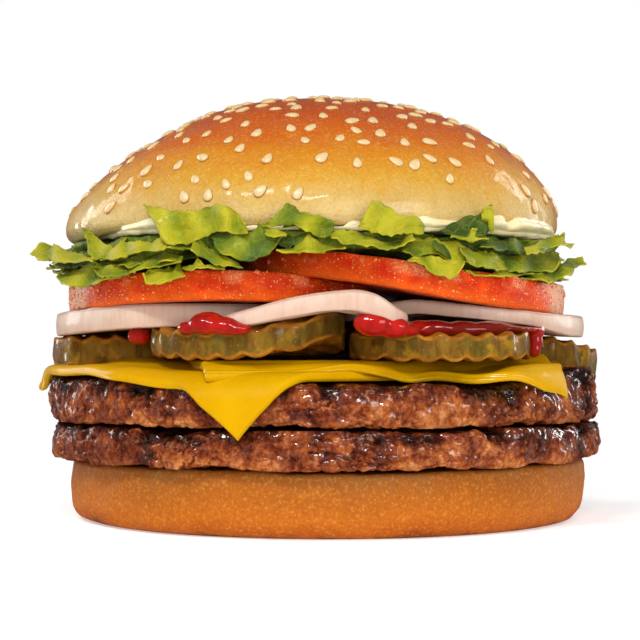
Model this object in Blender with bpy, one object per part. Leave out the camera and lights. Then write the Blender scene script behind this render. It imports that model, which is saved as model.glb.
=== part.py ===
"""Double cheeseburger, built layer by layer from the flat heel bun to the domed crown.

Sizes below are in millimetres. x runs to the right, y to the back, z up.
The origin is the middle of the flat face that the heel rests on.
"""
import math
import random

import bmesh
import bpy

MM = 0.001
GAP = 0.3                  # air between neighbouring pieces

# Buns
HEEL_RADIUS = 57.2
HEEL_HEIGHT = 13.2
CROWN_RADIUS = 55.4
CROWN_BASE = 61.6
CROWN_WIDEST = 66.0        # height where the dome is widest
CROWN_TOP = 93.4
CROWN_CENTRE = (-3.2, 0.0)
CROWN_LEAN = 2.2           # how far the top of the dome sits to the right of its base
DOME_POWER = 1.8

# Meat
PATTY_RADIUS = 61.2
LOWER_PATTY = (13.6, 21.5)  # bottom and top
UPPER_PATTY = (21.8, 30.6)
LOWER_PATTY_X = -0.6        # how far each patty lies off the middle of the heel
UPPER_PATTY_X = -1.2

# Cheese
CHEESE_THICK = 1.8
CHEESE_REST = UPPER_PATTY[1] + GAP
CHEESE_RADIUS_GAP = 3.8    # a hanging slice starts to bend this far inside the patty's rim

# Fillings
CORNER_POWER = 18.0        # how sharply an outline turns where two limits meet
PICKLE_REST = 35.6
PICKLE_THICK = 4.3
PICKLE_WAVE = 0.45
PICKLE_PERIOD = 4.8
END_SHARE = 0.985          # the last ridge stops just short of the end of the disc
KETCHUP_CENTRE = (4.0, 0.0)
KETCHUP_REST = 41.05
KETCHUP_THICK = 0.7
KETCHUP_REACH = 24.0       # radius of the pool between its arms
ONION_THICK = 4.3
FILLING_RIM = ((-1.5, 0.0), 60.2)   # circle that holds every slice: centre and radius

LETTUCE_CENTRE = (-4.0, -1.0)
LETTUCE_RADIUS = 62.0
LETTUCE_TOP = 60.2
LETTUCE_RIM = (59.2, 61.8)  # beyond the crown the leaves stand up, from the first radius to the second
LETTUCE_STAND = 2.0        # how far they stand up on average
LETTUCE_RUFFLE = 19.0      # how strongly that height varies round the rim
MAYO_REST = LETTUCE_TOP + GAP
MAYO_RADIUS = 55.6
MAYO_TOP = CROWN_WIDEST - 2.6


# ---------------------------------------------------------------- small maths

def blend(low, high, share):
    return low + (high - low) * share


def smoothstep(start, end, value):
    share = min(max((value - start) / (end - start), 0.0), 1.0)
    return share * share * (3.0 - 2.0 * share)


def through(points):
    """A function of one value that runs straight from each (value, result) pair to the next."""
    def curve(value):
        if value <= points[0][0]:
            return points[0][1]
        for (left, low), (right, high) in zip(points, points[1:]):
            if value <= right:
                return blend(low, high, (value - left) / (right - left))
        return points[-1][1]
    return curve


def uneven(seed, amount, waves=5):
    """A gentle irregular factor round a circle, near 1."""
    rng = random.Random(seed)
    terms = [(n, rng.uniform(0.0, math.tau), amount / n ** 0.5) for n in range(2, 2 + waves)]

    def factor(angle):
        return 1.0 + sum(size * math.sin(n * angle + phase) for n, phase, size in terms) / waves
    return factor


def leave_circle(point, angle, circle):
    """How far a ray from a point inside the circle travels before it leaves."""
    (cx, cy), radius = circle
    dx, dy = point[0] - cx, point[1] - cy
    along = dx * math.cos(angle) + dy * math.sin(angle)
    return -along + math.sqrt(max(along * along - dx * dx - dy * dy + radius * radius, 0.0))


def meet_circle(point, angle, circle):
    """How far a ray from a point outside the circle travels before it meets it, or None."""
    (cx, cy), radius = circle
    dx, dy = point[0] - cx, point[1] - cy
    along = dx * math.cos(angle) + dy * math.sin(angle)
    inside = along * along - dx * dx - dy * dy + radius * radius
    if inside < 0.0 or along > 0.0:
        return None
    return -along - math.sqrt(inside)


def fitted(centre, radius, neighbours=(), seed=0, amount=0.02):
    """Outline of a slice that fills its circle but stays off its neighbours and inside the rim."""
    factor = uneven(seed, amount)
    clear = [(place, reach + 2.0 * GAP) for place, reach in neighbours]

    def outline(angle):
        limits = [radius * factor(angle), leave_circle(centre, angle, FILLING_RIM)]
        limits += [meet_circle(centre, angle, circle) for circle in clear]
        return sum(limit ** -CORNER_POWER for limit in limits if limit is not None) ** (-1.0 / CORNER_POWER)
    return outline


def level(value):
    return lambda x, y: value


# ---------------------------------------------------------------- mesh helpers

def finish(name, colour, roughness):
    material = bpy.data.materials.new(name)
    material.use_nodes = True
    shader = material.node_tree.nodes["Principled BSDF"]
    shader.inputs["Base Color"].default_value = (*colour, 1.0)
    shader.inputs["Roughness"].default_value = roughness
    shader.inputs["Metallic"].default_value = 0.0
    return material


def add_object(name, mesh_data, material, smooth_angle):
    mesh_data.normal_update()
    bmesh.ops.recalc_face_normals(mesh_data, faces=mesh_data.faces)
    mesh = bpy.data.meshes.new(name)
    mesh_data.to_mesh(mesh)
    mesh_data.free()
    mesh.materials.append(material)
    mesh.shade_smooth()
    mesh.set_sharp_from_angle(angle=math.radians(smooth_angle))
    piece = bpy.data.objects.new(name, mesh)
    bpy.context.scene.collection.objects.link(piece)
    return piece


def slab(name, centre, outline, bottom, top, rings, segments, material, lean=0.0, smooth_angle=50):
    """A closed round body. rings run from the middle of the top to the middle of the bottom.

    Each ring is (share of the way out, inset from the outline, level from 0 bottom to 1 top).
    """
    mesh_data = bmesh.new()

    def corner(reach, angle, height):
        x = centre[0] + reach * math.cos(angle)
        y = centre[1] + reach * math.sin(angle)
        z = blend(bottom(x, y), top(x, y), height)
        return mesh_data.verts.new(((x + lean * height) * MM, y * MM, z * MM))

    angles = [math.tau * n / segments for n in range(segments)]
    loops = [[corner((outline(a) - inset) * share, a, height) for a in angles]
             for share, inset, height in rings]
    for upper, lower in zip(loops, loops[1:]):
        for n in range(segments):
            following = (n + 1) % segments
            mesh_data.faces.new((upper[n], lower[n], lower[following], upper[following]))
    for loop, height in ((loops[0], 1.0), (loops[-1], 0.0)):
        middle = corner(0.0, 0.0, height)
        for n in range(segments):
            mesh_data.faces.new((middle, loop[n], loop[(n + 1) % segments]))
    return add_object(name, mesh_data, material, smooth_angle)


def slice_rings(edge, thick, core=(0.5,)):
    """Rings of a cut slice: flat faces, corners eased by edge, a wall that bulges a little."""
    share = edge / thick
    wall = [(1.0, edge, 1.0), (1.0, 0.0, 1.0 - share), (1.0, 0.0, share), (1.0, edge, 0.0)]
    return [(c, edge, 1.0) for c in core] + wall + [(c, edge, 0.0) for c in reversed(core)]


# ---------------------------------------------------------------- buns and meat

# Rings of (share of the way out, inset, level), from the middle of the top to that of the bottom.
HEEL_RINGS = [(0.5, 2.0, 1.0), (1.0, 2.0, 1.0), (1.0, 0.5, 0.94), (1.0, 0.0, 0.72), (1.0, 0.2, 0.42),
              (1.0, 1.2, 0.18), (1.0, 3.0, 0.05), (1.0, 4.8, 0.0), (0.5, 4.8, 0.0)]
PATTY_RINGS = [(0.5, 4.2, 1.0), (1.0, 4.2, 0.99), (1.0, 1.3, 0.86), (1.0, 0.0, 0.6), (1.0, 0.3, 0.33),
               (1.0, 1.8, 0.1), (1.0, 4.4, 0.0), (0.5, 4.4, 0.0)]
CROWN_SHARES = (0.2, 0.4, 0.58, 0.74, 0.87, 0.96, 1.0)      # rings of the dome
CROWN_TUCK = [(0.9, 0.45), (2.8, 0.1), (5.4, 0.0)]          # inset and height of its rounded foot


def make_heel():
    factor = uneven(11, 0.006)
    slab("heel", (0.0, 0.0), lambda a: HEEL_RADIUS * factor(a), level(0.0), level(HEEL_HEIGHT),
         HEEL_RINGS, 36, finish("heel_bun", (0.55, 0.16, 0.02), 0.75))


def make_patty(name, heights, centre_x, seed, material):
    """A pressed patty: rounded shoulders, a rough uneven edge and a slightly uneven top."""
    factor = uneven(seed, 0.012, waves=9)
    slab(name, (centre_x, 0.0), lambda a: PATTY_RADIUS * factor(a), level(heights[0]),
         level(heights[1]), PATTY_RINGS, 40, material)


def make_crown():
    """The glazed top bun: a full dome, widest a little above its flat cut face."""
    height = CROWN_TOP - CROWN_BASE
    widest = (CROWN_WIDEST - CROWN_BASE) / height
    rings = []
    for share in CROWN_SHARES:
        rise = (1.0 - share ** DOME_POWER) ** (1.0 / DOME_POWER)
        rings.append((share, 0.0, blend(widest, 1.0, rise)))
    rings += [(1.0, inset, widest * part) for inset, part in CROWN_TUCK]
    rings.append((0.5, CROWN_TUCK[-1][0], 0.0))
    factor = uneven(5, 0.01)
    slab("crown", CROWN_CENTRE, lambda a: CROWN_RADIUS * factor(a), level(CROWN_BASE),
         level(CROWN_TOP), rings, 36, finish("crown_bun", (0.68, 0.25, 0.03), 0.35),
         lean=CROWN_LEAN)


# ---------------------------------------------------------------- cheese

def make_cheese(name, front_corner, side, turn, rest, rim, bend, steepest, material, cells):
    """A square slice lying on the meat; what reaches past the rim bends down over it."""
    along = (math.cos(turn), math.sin(turn))
    across = (-along[1], along[0])
    mesh_data = bmesh.new()

    def corner(u, v, lift):
        x = front_corner[0] + side * (u * along[0] + v * across[0])
        y = front_corner[1] + side * (u * along[1] + v * across[1])
        reach = math.hypot(x, y)
        past = max(reach - rim, 0.0)
        angle = min(past / bend, steepest)
        straight = past - bend * angle
        flat = min(reach, rim) + bend * math.sin(angle) + straight * math.cos(angle)
        drop = bend * (1.0 - math.cos(angle)) + straight * math.sin(angle)
        out = flat + lift * math.sin(angle)
        height = rest - drop + lift * math.cos(angle)
        scale = out / reach if reach > 0.0 else 0.0
        return mesh_data.verts.new((x * scale * MM, y * scale * MM, height * MM))

    steps = range(cells + 1)
    low = [[corner(i / cells, j / cells, 0.0) for j in steps] for i in steps]
    high = [[corner(i / cells, j / cells, CHEESE_THICK) for j in steps] for i in steps]
    for i in range(cells):
        for j in range(cells):
            mesh_data.faces.new((high[i][j], high[i + 1][j], high[i + 1][j + 1], high[i][j + 1]))
            mesh_data.faces.new((low[i][j], low[i][j + 1], low[i + 1][j + 1], low[i + 1][j]))
    edge = [(i, 0) for i in range(cells)] + [(cells, j) for j in range(cells)]
    edge += [(cells - i, cells) for i in range(cells)] + [(0, cells - j) for j in range(cells)]
    for (i, j), (k, m) in zip(edge, edge[1:] + edge[:1]):
        mesh_data.faces.new((low[i][j], low[k][m], high[k][m], high[i][j]))
    return add_object(name, mesh_data, material, 40)


CHEESES = {
    # name: front corner, side, turn, height, radius where it starts to bend, bend radius,
    # steepest slope, cells along a side
    "cheese_lower": ((-19.2, -71.6), 84.0, 32.0, CHEESE_REST,
                     PATTY_RADIUS - CHEESE_RADIUS_GAP, 5.6, 86.0, 26),
    "cheese_upper": ((-26.0, -59.0), 78.0, 11.5, CHEESE_REST + CHEESE_THICK + GAP,
                     PATTY_RADIUS - CHEESE_RADIUS_GAP + 2.0 * GAP, 8.2, 80.0, 24),
}


def make_cheeses():
    material = finish("cheese", (0.85, 0.46, 0.008), 0.4)
    for name, (corner, side, turn, rest, rim, bend, steepest, cells) in CHEESES.items():
        make_cheese(name, corner, side, math.radians(turn), rest, rim, bend,
                    math.radians(steepest), material, cells)


# ---------------------------------------------------------------- pickles

def make_pickle(name, centre, radius, ridge_turn, thick, rest, material, steps):
    """A crinkle-cut slice. Straight ridges cross it; rest gives its underside at x, y."""
    columns = 2 * round(2.0 * radius / PICKLE_PERIOD * 2.0)
    turn = (math.cos(ridge_turn), math.sin(ridge_turn))
    mesh_data = bmesh.new()
    ridges = []
    for n in range(columns + 1):
        across = radius * END_SHARE * (2.0 * n / columns - 1.0)
        half = math.sqrt(radius * radius - across * across)
        wave = PICKLE_WAVE * math.cos(math.tau * across / PICKLE_PERIOD)
        ridge = []
        for step in range(steps + 1):
            side = half * (2.0 * step / steps - 1.0)
            x = centre[0] + across * turn[0] - side * turn[1]
            y = centre[1] + across * turn[1] + side * turn[0]
            low = rest(x, y) + wave
            ridge.append([mesh_data.verts.new((x * MM, y * MM, z * MM)) for z in (low, low + thick)])
        ridges.append(ridge)
    for left, right in zip(ridges, ridges[1:]):
        for n in range(steps):
            mesh_data.faces.new((left[n][1], right[n][1], right[n + 1][1], left[n + 1][1]))
            mesh_data.faces.new((left[n][0], left[n + 1][0], right[n + 1][0], right[n][0]))
        for n in (0, steps):
            mesh_data.faces.new((left[n][0], right[n][0], right[n][1], left[n][1]))
    for ridge in (ridges[0], ridges[-1]):
        for near, far in zip(ridge, ridge[1:]):
            mesh_data.faces.new((near[0], near[1], far[1], far[0]))
    return add_object(name, mesh_data, material, 60)


def front_lift(x, y):
    """The front pickle on the left is twisted: its front right part stands up."""
    return 0.004 * max(x + 30.0, 0.0) ** 2 * smoothstep(-30.0, -48.0, y)


def rear_sag(y, depth):
    """Layers behind the cheese settle towards the back edge by up to depth."""
    return depth * smoothstep(22.0, 50.0, y)


def rest_by_reach(points):
    curve = through(points)
    return lambda x, y: curve(math.hypot(x, y))


PICKLES = {
    # name: centre, radius, turn of the ridges, thickness, steps along a ridge, underside
    "pickle_back_left": ((-42.3, -9.0), 18.2, 8, PICKLE_THICK, 1,
                         lambda x, y: blend(34.6, PICKLE_REST, smoothstep(-60.0, -36.0, x))),
    "pickle_front_left": ((-16.3, -37.5), 19.8, -30, 4.6, 2,
                          lambda x, y: PICKLE_REST + front_lift(x, y)),
    "pickle_front_right": ((23.0, -36.6), 18.6, 14, PICKLE_THICK, 1, level(PICKLE_REST)),
    "pickle_right": ((42.5, -5.5), 17.0, 20, 4.2, 1,
                     lambda x, y: PICKLE_REST - 0.016 * max(x - 44.0, 0.0) ** 2),
    "pickle_rear_right": ((34.0, 28.5), 16.8, 60, PICKLE_THICK, 3,
                          rest_by_reach([(50, PICKLE_REST), (53, 35.3), (61, 33.4)])),
    "pickle_rear": ((-1.5, 41.5), 18.4, -15, PICKLE_THICK, 3,
                    rest_by_reach([(31, PICKLE_REST), (46, 33.6), (60, 31.5)])),
    "pickle_rear_left": ((-35.0, 27.0), 17.4, 35, PICKLE_THICK, 3,
                         rest_by_reach([(46, PICKLE_REST), (50, 35.2), (61, 32.4)])),
}


def make_pickles():
    material = finish("pickle", (0.17, 0.09, 0.015), 0.3)
    for name, (centre, radius, turn, thick, steps, rest) in PICKLES.items():
        make_pickle(name, centre, radius, math.radians(turn), thick, rest, material, steps)


# ---------------------------------------------------------------- onions, tomatoes

ONION_LEFT = ((-30.0, -15.5), 31.0)
ONION_RIGHT = ((29.0, -19.0), 27.6)
ONION_REAR_LEFT = ((-24.0, 33.5), 18.5)
ONION_REAR_RIGHT = ((17.0, 31.5), 22.0)
ONION_MIDDLE_CENTRE = (1.2, -54.2)
ONION_MIDDLE_HALF = (17.4, 6.0)      # half its length and half its depth
ONION_MIDDLE_POWER = 3.0             # how square its ends are
TOMATO_LEFT = ((-24.5, -22.0), 33.0)
TOMATO_RIGHT = ((17.0, -20.0), 36.0)
TOMATO_REAR_LEFT = ((-25.0, 33.5), 31.0)
TOMATO_REAR_RIGHT = ((19.0, 36.0), 33.0)
ONION_SAG = 2.4
TOMATO_SAG = 2.0
LETTUCE_SAG = 1.7

# Undersides and tops of the layers along x, which front and rear slices share.
ONION_LEFT_LOW = through([(-61, 40.1), (-50, 41.2), (-36, 42.2), (5, 42.2)])
ONION_RIGHT_LOW = through([(11, 42.1), (17, 43.9), (30, 42.5), (44, 40.9), (57, 39.9)])
ONION_RIGHT_HIGH = through([(11, 46.3), (17, 47.6), (32, 45.8), (44, 44.5), (57, 44.0)])
ONION_MIDDLE_LOW = through([(-16, 42.4), (-10, 43.1), (0, 45.0), (4, 45.3), (10, 43.6), (18, 42.0)])
ONION_MIDDLE_HIGH = through([(-16, 44.0), (-11, 45.6), (-4, 47.6), (3, 48.8), (6, 48.7), (9, 47.6),
                             (13, 45.2), (18, 43.2)])
TOMATO_LEFT_LOW = through([(-57, 45.3), (-36, 47.1), (-20, 47.2), (0, 46.8), (9, 46.8)])
TOMATO_LEFT_HIGH = through([(-57, 51.0), (-46, 51.9), (-36, 52.6), (-20, 53.0), (-10, 52.6),
                            (0, 51.0), (9, 50.3)])
TOMATO_RIGHT_LOW = through([(-19, 53.5), (-10, 53.1), (-4, 52.2), (6, 50.9), (13, 49.6), (21, 48.1),
                            (32, 46.3), (42, 45.3), (53, 44.6)])
TOMATO_RIGHT_HIGH = through([(-19, 57.6), (-8, 57.4), (2, 56.6), (10, 55.4), (24, 53.1),
                             (44, 51.1), (53, 50.7)])


def sagging(curve, depth, lift=0.0):
    return lambda x, y: curve(x) + lift - rear_sag(y, depth)


def make_onions():
    material = finish("onion", (0.76, 0.49, 0.36), 0.35)
    rings = slice_rings(0.5, ONION_THICK)
    left = (sagging(ONION_LEFT_LOW, ONION_SAG), sagging(ONION_LEFT_LOW, ONION_SAG, ONION_THICK))
    right = (sagging(ONION_RIGHT_LOW, ONION_SAG), sagging(ONION_RIGHT_HIGH, ONION_SAG))
    for name, (centre, radius), neighbours, layer, seed in (
            ("onion_left", ONION_LEFT, [], left, 21),
            ("onion_right", ONION_RIGHT, [ONION_LEFT], right, 22),
            ("onion_rear_left", ONION_REAR_LEFT, [ONION_LEFT, ONION_REAR_RIGHT], left, 24),
            ("onion_rear_right", ONION_REAR_RIGHT, [ONION_LEFT, ONION_RIGHT], right, 25)):
        outline = fitted(centre, radius, neighbours, seed)
        slab(name, centre, outline, *layer, rings, 28, material)
    slab("onion_middle", ONION_MIDDLE_CENTRE, onion_middle_outline,
         sagging(ONION_MIDDLE_LOW, 0.0), sagging(ONION_MIDDLE_HIGH, 0.0),
         slice_rings(0.3, 1.6), 32, material)


def onion_middle_outline(angle):
    """A long rounded block whose front follows the rim of the filling."""
    length, depth = ONION_MIDDLE_HALF
    across = abs(math.cos(angle) / length) ** ONION_MIDDLE_POWER
    along = abs(math.sin(angle) / depth) ** ONION_MIDDLE_POWER
    block = (across + along) ** (-1.0 / ONION_MIDDLE_POWER)
    return min(block, leave_circle(ONION_MIDDLE_CENTRE, angle, FILLING_RIM))


def make_tomatoes():
    material = finish("tomato", (0.66, 0.07, 0.012), 0.25)
    rings = slice_rings(1.2, 5.6)
    left = (sagging(TOMATO_LEFT_LOW, TOMATO_SAG), sagging(TOMATO_LEFT_HIGH, TOMATO_SAG))
    right = (sagging(TOMATO_RIGHT_LOW, TOMATO_SAG), sagging(TOMATO_RIGHT_HIGH, TOMATO_SAG))
    for name, (centre, radius), neighbours, layer, seed in (
            ("tomato_left", TOMATO_LEFT, [], left, 31),
            ("tomato_right", TOMATO_RIGHT, [], right, 32),
            ("tomato_rear_left", TOMATO_REAR_LEFT, [TOMATO_LEFT], left, 33),
            ("tomato_rear_right", TOMATO_REAR_RIGHT, [TOMATO_RIGHT], right, 34)):
        outline = fitted(centre, radius, neighbours, seed)
        slab(name, centre, outline, *layer, rings, 30, material)


# ---------------------------------------------------------------- sauces and lettuce

KETCHUP_ARMS = [(-52, 49.0, 15), (28, 34.0, 13), (85, 50.0, 11), (116, 50.0, 12)]  # turn, reach, spread
KETCHUP_RINGS = [(0.55, 0.4, 1.0), (0.8, 0.4, 1.0), (1.0, 0.2, 1.0), (1.0, 0.2, 0.0), (0.8, 0.4, 0.0),
                 (0.55, 0.4, 0.0)]
DOLLOP_RINGS = [(0.6, 0.0, 0.93), (0.92, 0.0, 0.68), (1.0, 0.0, 0.38), (0.8, 0.0, 0.05), (0.4, 0.0, 0.0)]
KETCHUP_DOLLOPS = [
    # name, centre, radius, lowest and highest point
    ("ketchup_left", (-22.0, -51.4), 5.4, 41.3, 44.7),
    ("ketchup_middle", (9.6, -56.4), 3.7, 38.4, 43.0),
    ("ketchup_drip", (43.6, -38.6), 1.7, 35.4, 40.6),
]


def ketchup_outline(angle):
    reach = KETCHUP_REACH
    for turn, far, spread in KETCHUP_ARMS:
        off = (math.degrees(angle) - turn + 180.0) % 360.0 - 180.0
        reach = max(reach, blend(KETCHUP_REACH, far, math.exp(-(off / spread) ** 2)))
    return reach


def make_ketchup():
    """Sauce squeezed on the pickles: a thin pool whose arms reach the edge, dollops and a drip."""
    material = finish("ketchup", (0.5, 0.016, 0.01), 0.12)
    slab("ketchup", KETCHUP_CENTRE, ketchup_outline,
         lambda x, y: KETCHUP_REST - rear_sag(y, ONION_SAG),
         lambda x, y: KETCHUP_REST + KETCHUP_THICK - rear_sag(y, ONION_SAG),
         KETCHUP_RINGS, 36, material)
    for name, centre, radius, low, high in KETCHUP_DOLLOPS:
        slab(name, centre, lambda angle: radius, level(low), level(high), DOLLOP_RINGS, 12, material)


def lettuce_rest(x, y):
    """The top of the tomatoes along x, cleared by the usual gap."""
    left = TOMATO_LEFT_HIGH(x) + 2.0 * GAP
    right = TOMATO_RIGHT_HIGH(x) + 2.0 * GAP
    return blend(left, right, smoothstep(-38.0, -27.0, x)) - rear_sag(y, LETTUCE_SAG)


def make_lettuce():
    """A heap of torn leaves as one solid, out to its ruffled edge."""
    factor = uneven(41, 0.12, waves=11)
    ruffle = uneven(42, 1.0, waves=12)

    def edge_wave(x, y):
        off_x, off_y = x - LETTUCE_CENTRE[0], y - LETTUCE_CENTRE[1]
        near_edge = smoothstep(*LETTUCE_RIM, math.hypot(x - CROWN_CENTRE[0], y))
        lift = LETTUCE_STAND + LETTUCE_RUFFLE * (ruffle(math.atan2(off_y, off_x)) - 1.0)
        return near_edge * lift

    core = (0.25, 0.5, 0.75)
    inset = 4.5
    rings = [(share, inset, 1.0) for share in core]
    rings += [(1.0, inset, 1.0), (1.0, 1.2, 0.92), (1.0, 0.0, 0.6), (1.0, 1.4, 0.25), (1.0, inset, 0.0)]
    rings += [(share, inset, 0.0) for share in reversed(core)]
    slab("lettuce", LETTUCE_CENTRE, lambda a: LETTUCE_RADIUS * factor(a), lettuce_rest,
         lambda x, y: LETTUCE_TOP + edge_wave(x, y), rings, 48,
         finish("lettuce", (0.28, 0.32, 0.02), 0.4), smooth_angle=30)


def crown_underside(x, y):
    """Height of the crown's rounded lower edge above a point, kept clear by a gap all round."""
    reach = math.hypot(x - CROWN_CENTRE[0], y - CROWN_CENTRE[1])
    rounding = CROWN_WIDEST - CROWN_BASE
    flat_radius, foot = CROWN_RADIUS - 4.6, 6.0
    out = min(max((reach - flat_radius) / foot, 0.0), 1.0)
    return CROWN_WIDEST - rounding * math.sqrt(1.0 - out * out) - GAP


def make_mayonnaise():
    """A spread under the crown that swells out past its edge in soft lobes."""
    factor = uneven(51, 0.035, waves=9)
    rings = [(0.6, 4.0, 1.0), (1.0, 4.0, 1.0), (1.0, 1.0, 0.8), (1.0, 0.0, 0.45), (1.0, 1.6, 0.0),
             (0.6, 4.0, 0.0)]
    slab("mayonnaise", CROWN_CENTRE, lambda a: MAYO_RADIUS * factor(a), level(MAYO_REST),
         lambda x, y: min(crown_underside(x, y) - GAP, MAYO_TOP), rings, 40,
         finish("mayonnaise", (0.8, 0.7, 0.45), 0.3))


def main():
    for leftover in list(bpy.data.objects):
        bpy.data.objects.remove(leftover, do_unlink=True)
    meat = finish("beef_patty", (0.19, 0.05, 0.022), 0.45)
    make_heel()
    make_patty("lower_patty", LOWER_PATTY, LOWER_PATTY_X, 61, meat)
    make_patty("upper_patty", UPPER_PATTY, UPPER_PATTY_X, 62, meat)
    make_cheeses()
    make_pickles()
    make_ketchup()
    make_onions()
    make_tomatoes()
    make_lettuce()
    make_mayonnaise()
    make_crown()


main()
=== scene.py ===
import itertools
import math

import bpy
import numpy as np
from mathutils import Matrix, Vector
from mathutils.bvhtree import BVHTree


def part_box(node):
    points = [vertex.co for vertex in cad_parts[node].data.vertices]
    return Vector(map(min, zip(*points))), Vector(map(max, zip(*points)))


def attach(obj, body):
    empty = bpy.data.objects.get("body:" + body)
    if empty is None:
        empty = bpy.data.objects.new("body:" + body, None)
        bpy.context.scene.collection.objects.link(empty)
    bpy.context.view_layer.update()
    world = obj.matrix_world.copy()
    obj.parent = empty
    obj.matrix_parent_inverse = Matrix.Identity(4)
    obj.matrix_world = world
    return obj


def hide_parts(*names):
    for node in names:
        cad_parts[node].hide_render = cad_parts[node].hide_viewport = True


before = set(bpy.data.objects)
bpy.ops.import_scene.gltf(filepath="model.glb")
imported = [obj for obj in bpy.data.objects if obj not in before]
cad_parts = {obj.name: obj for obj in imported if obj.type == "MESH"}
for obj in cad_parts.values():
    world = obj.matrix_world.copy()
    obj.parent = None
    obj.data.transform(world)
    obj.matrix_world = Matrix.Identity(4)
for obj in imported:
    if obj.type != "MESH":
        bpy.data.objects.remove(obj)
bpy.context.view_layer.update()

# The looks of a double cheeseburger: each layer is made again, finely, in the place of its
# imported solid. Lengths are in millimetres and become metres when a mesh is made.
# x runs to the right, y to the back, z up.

MM = 0.001
TURN = 2.0 * math.pi

CAMERA_PLACE = (0.0, -397.0, 37.7)
CAMERA_LENS = 98.6
CAMERA_UP = 0.88           # degrees above level
CAMERA_LEFT = 0.26         # degrees left of straight ahead


# ---------------------------------------------------------------- materials

class Value:
    """An output of a finish's nodes. Arithmetic on it adds Math nodes."""

    def __init__(self, finish, socket):
        self.finish = finish
        self.socket = socket

    def between(self, low, high):
        """0 below low, 1 above high and a soft ramp from one to the other."""
        return self.finish.add("ShaderNodeMapRange", {"interpolation_type": "SMOOTHSTEP"},
                               {"Value": self, "From Min": low, "From Max": high})

    def ramp(self, *stops):
        """The colour that the (place, colour) stops give along this value."""
        return self.finish.add("ShaderNodeValToRGB", {"stops": stops}, {"Fac": self})


def add_operator(sign, operation):
    setattr(Value, f"__{sign}__", lambda self, other: self.finish.math(operation, self, other))
    setattr(Value, f"__r{sign}__", lambda self, other: self.finish.math(operation, other, self))


for sign, operation in (("add", "ADD"), ("sub", "SUBTRACT"), ("mul", "MULTIPLY"),
                        ("truediv", "DIVIDE"), ("pow", "POWER")):
    add_operator(sign, operation)


class Finish:
    """One material, made round the shader that a new material starts with."""

    def __init__(self, name):
        self.material = bpy.data.materials.new(name)
        self.material.use_nodes = True
        self.tree = self.material.node_tree
        self.shader = self.tree.nodes["Principled BSDF"]

    def feed(self, socket, value):
        if isinstance(value, Value):
            self.tree.links.new(value.socket, socket)
        elif socket.type == "RGBA":
            socket.default_value = (*value, 1.0)
        else:
            socket.default_value = value

    def add(self, kind, settings, inputs, output=0):
        """Any node: its settings first, then the values or links of its sockets."""
        node = self.tree.nodes.new(kind)
        for name, setting in settings.items():
            if name == "stops":
                self.place_stops(node.color_ramp, setting)
            else:
                setattr(node, name, setting)
        for name, value in inputs.items():
            self.feed(node.inputs[name], value)
        return Value(self, node.outputs[output])

    @staticmethod
    def place_stops(ramp, stops):
        while len(ramp.elements) < len(stops):
            ramp.elements.new(1.0)
        for element, (place, colour) in zip(ramp.elements, stops):
            element.position = place
            element.color = (*colour, 1.0)

    def math(self, operation, first, second):
        return self.add("ShaderNodeMath", {"operation": operation}, {0: first, 1: second})

    def place(self, stretch=(1.0, 1.0, 1.0)):
        """Where a point is on the burger, with each axis stretched for a grain that runs."""
        spot = self.add("ShaderNodeTexCoord", {}, {}, output="Object")
        if stretch == (1.0, 1.0, 1.0):
            return spot
        return self.add("ShaderNodeVectorMath", {"operation": "MULTIPLY"}, {0: spot, 1: stretch})

    def along(self, axis):
        """How far a point lies along the axis X, Y or Z, in millimetres."""
        return self.add("ShaderNodeSeparateXYZ", {}, {"Vector": self.place()}, output=axis) / MM

    def grain(self, size, detail=3.0, roughness=0.55, stretch=(1.0, 1.0, 1.0), distortion=0.0):
        """Cloudy values about 0.5 that change over about size."""
        return self.add("ShaderNodeTexNoise", {},
                        {"Vector": self.place(stretch), "Scale": 1.0 / (size * MM), "Detail": detail,
                         "Roughness": roughness, "Distortion": distortion})

    def spots(self, size, feature="F1", output="Distance"):
        return self.add("ShaderNodeTexVoronoi", {"feature": feature},
                        {"Vector": self.place(), "Scale": 1.0 / (size * MM)}, output=output)

    def mark(self, name):
        """A value that the mesh stores at its points."""
        return self.add("ShaderNodeAttribute", {"attribute_name": name}, {}, output="Fac")

    def mix(self, share, first, second):
        return self.add("ShaderNodeMix", {"data_type": "RGBA"}, {0: share, 6: first, 7: second},
                        output=2)

    def bump(self, height, depth, under=None):
        """Relief of a height from 0 to 1 that stands depth proud."""
        inputs = {"Height": height, "Distance": depth * MM, "Strength": 1.0}
        if under is not None:
            inputs["Normal"] = under
        return self.add("ShaderNodeBump", {}, inputs)

    def surface(self, **inputs):
        for name, value in inputs.items():
            self.feed(self.shader.inputs[name.replace("_", " ").title()
                                         .replace("Ior", "IOR")], value)
        return self


# ---------------------------------------------------------------- random relief

def hashed(cell, seed):
    """A random number from 0 to 1 for each whole-numbered cell of a 3-D grid."""
    key = cell[..., 0] * 374761393 + cell[..., 1] * 668265263 + cell[..., 2] * 1442695041
    key = (key + seed * 974711) & 0xFFFFFFFF
    key = ((key ^ (key >> 13)) * 1274126177) & 0xFFFFFFFF
    return ((key ^ (key >> 16)) & 0xFFFF) / 65535.0


def smooth(low, high, value):
    share = np.clip((value - low) / (high - low), 0.0, 1.0)
    return share * share * (3.0 - 2.0 * share)


def noise(points, size, seed):
    """Smooth random values from -1 to 1 that change over about size."""
    place = points / size
    cell = np.floor(place).astype(np.int64)
    part = smooth(0.0, 1.0, place - cell)
    total = 0.0
    for corner in itertools.product((0, 1), repeat=3):
        weight = np.prod(np.where(corner, part, 1.0 - part), axis=-1)
        total = total + weight * hashed(cell + np.array(corner), seed)
    return 2.0 * total - 1.0


def rough(points, size, seed, layers=3):
    """Noise with finer and fainter noise on top."""
    return sum(noise(points, size / 2.0 ** n, seed + n) / 2.0 ** n for n in range(layers))


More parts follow.
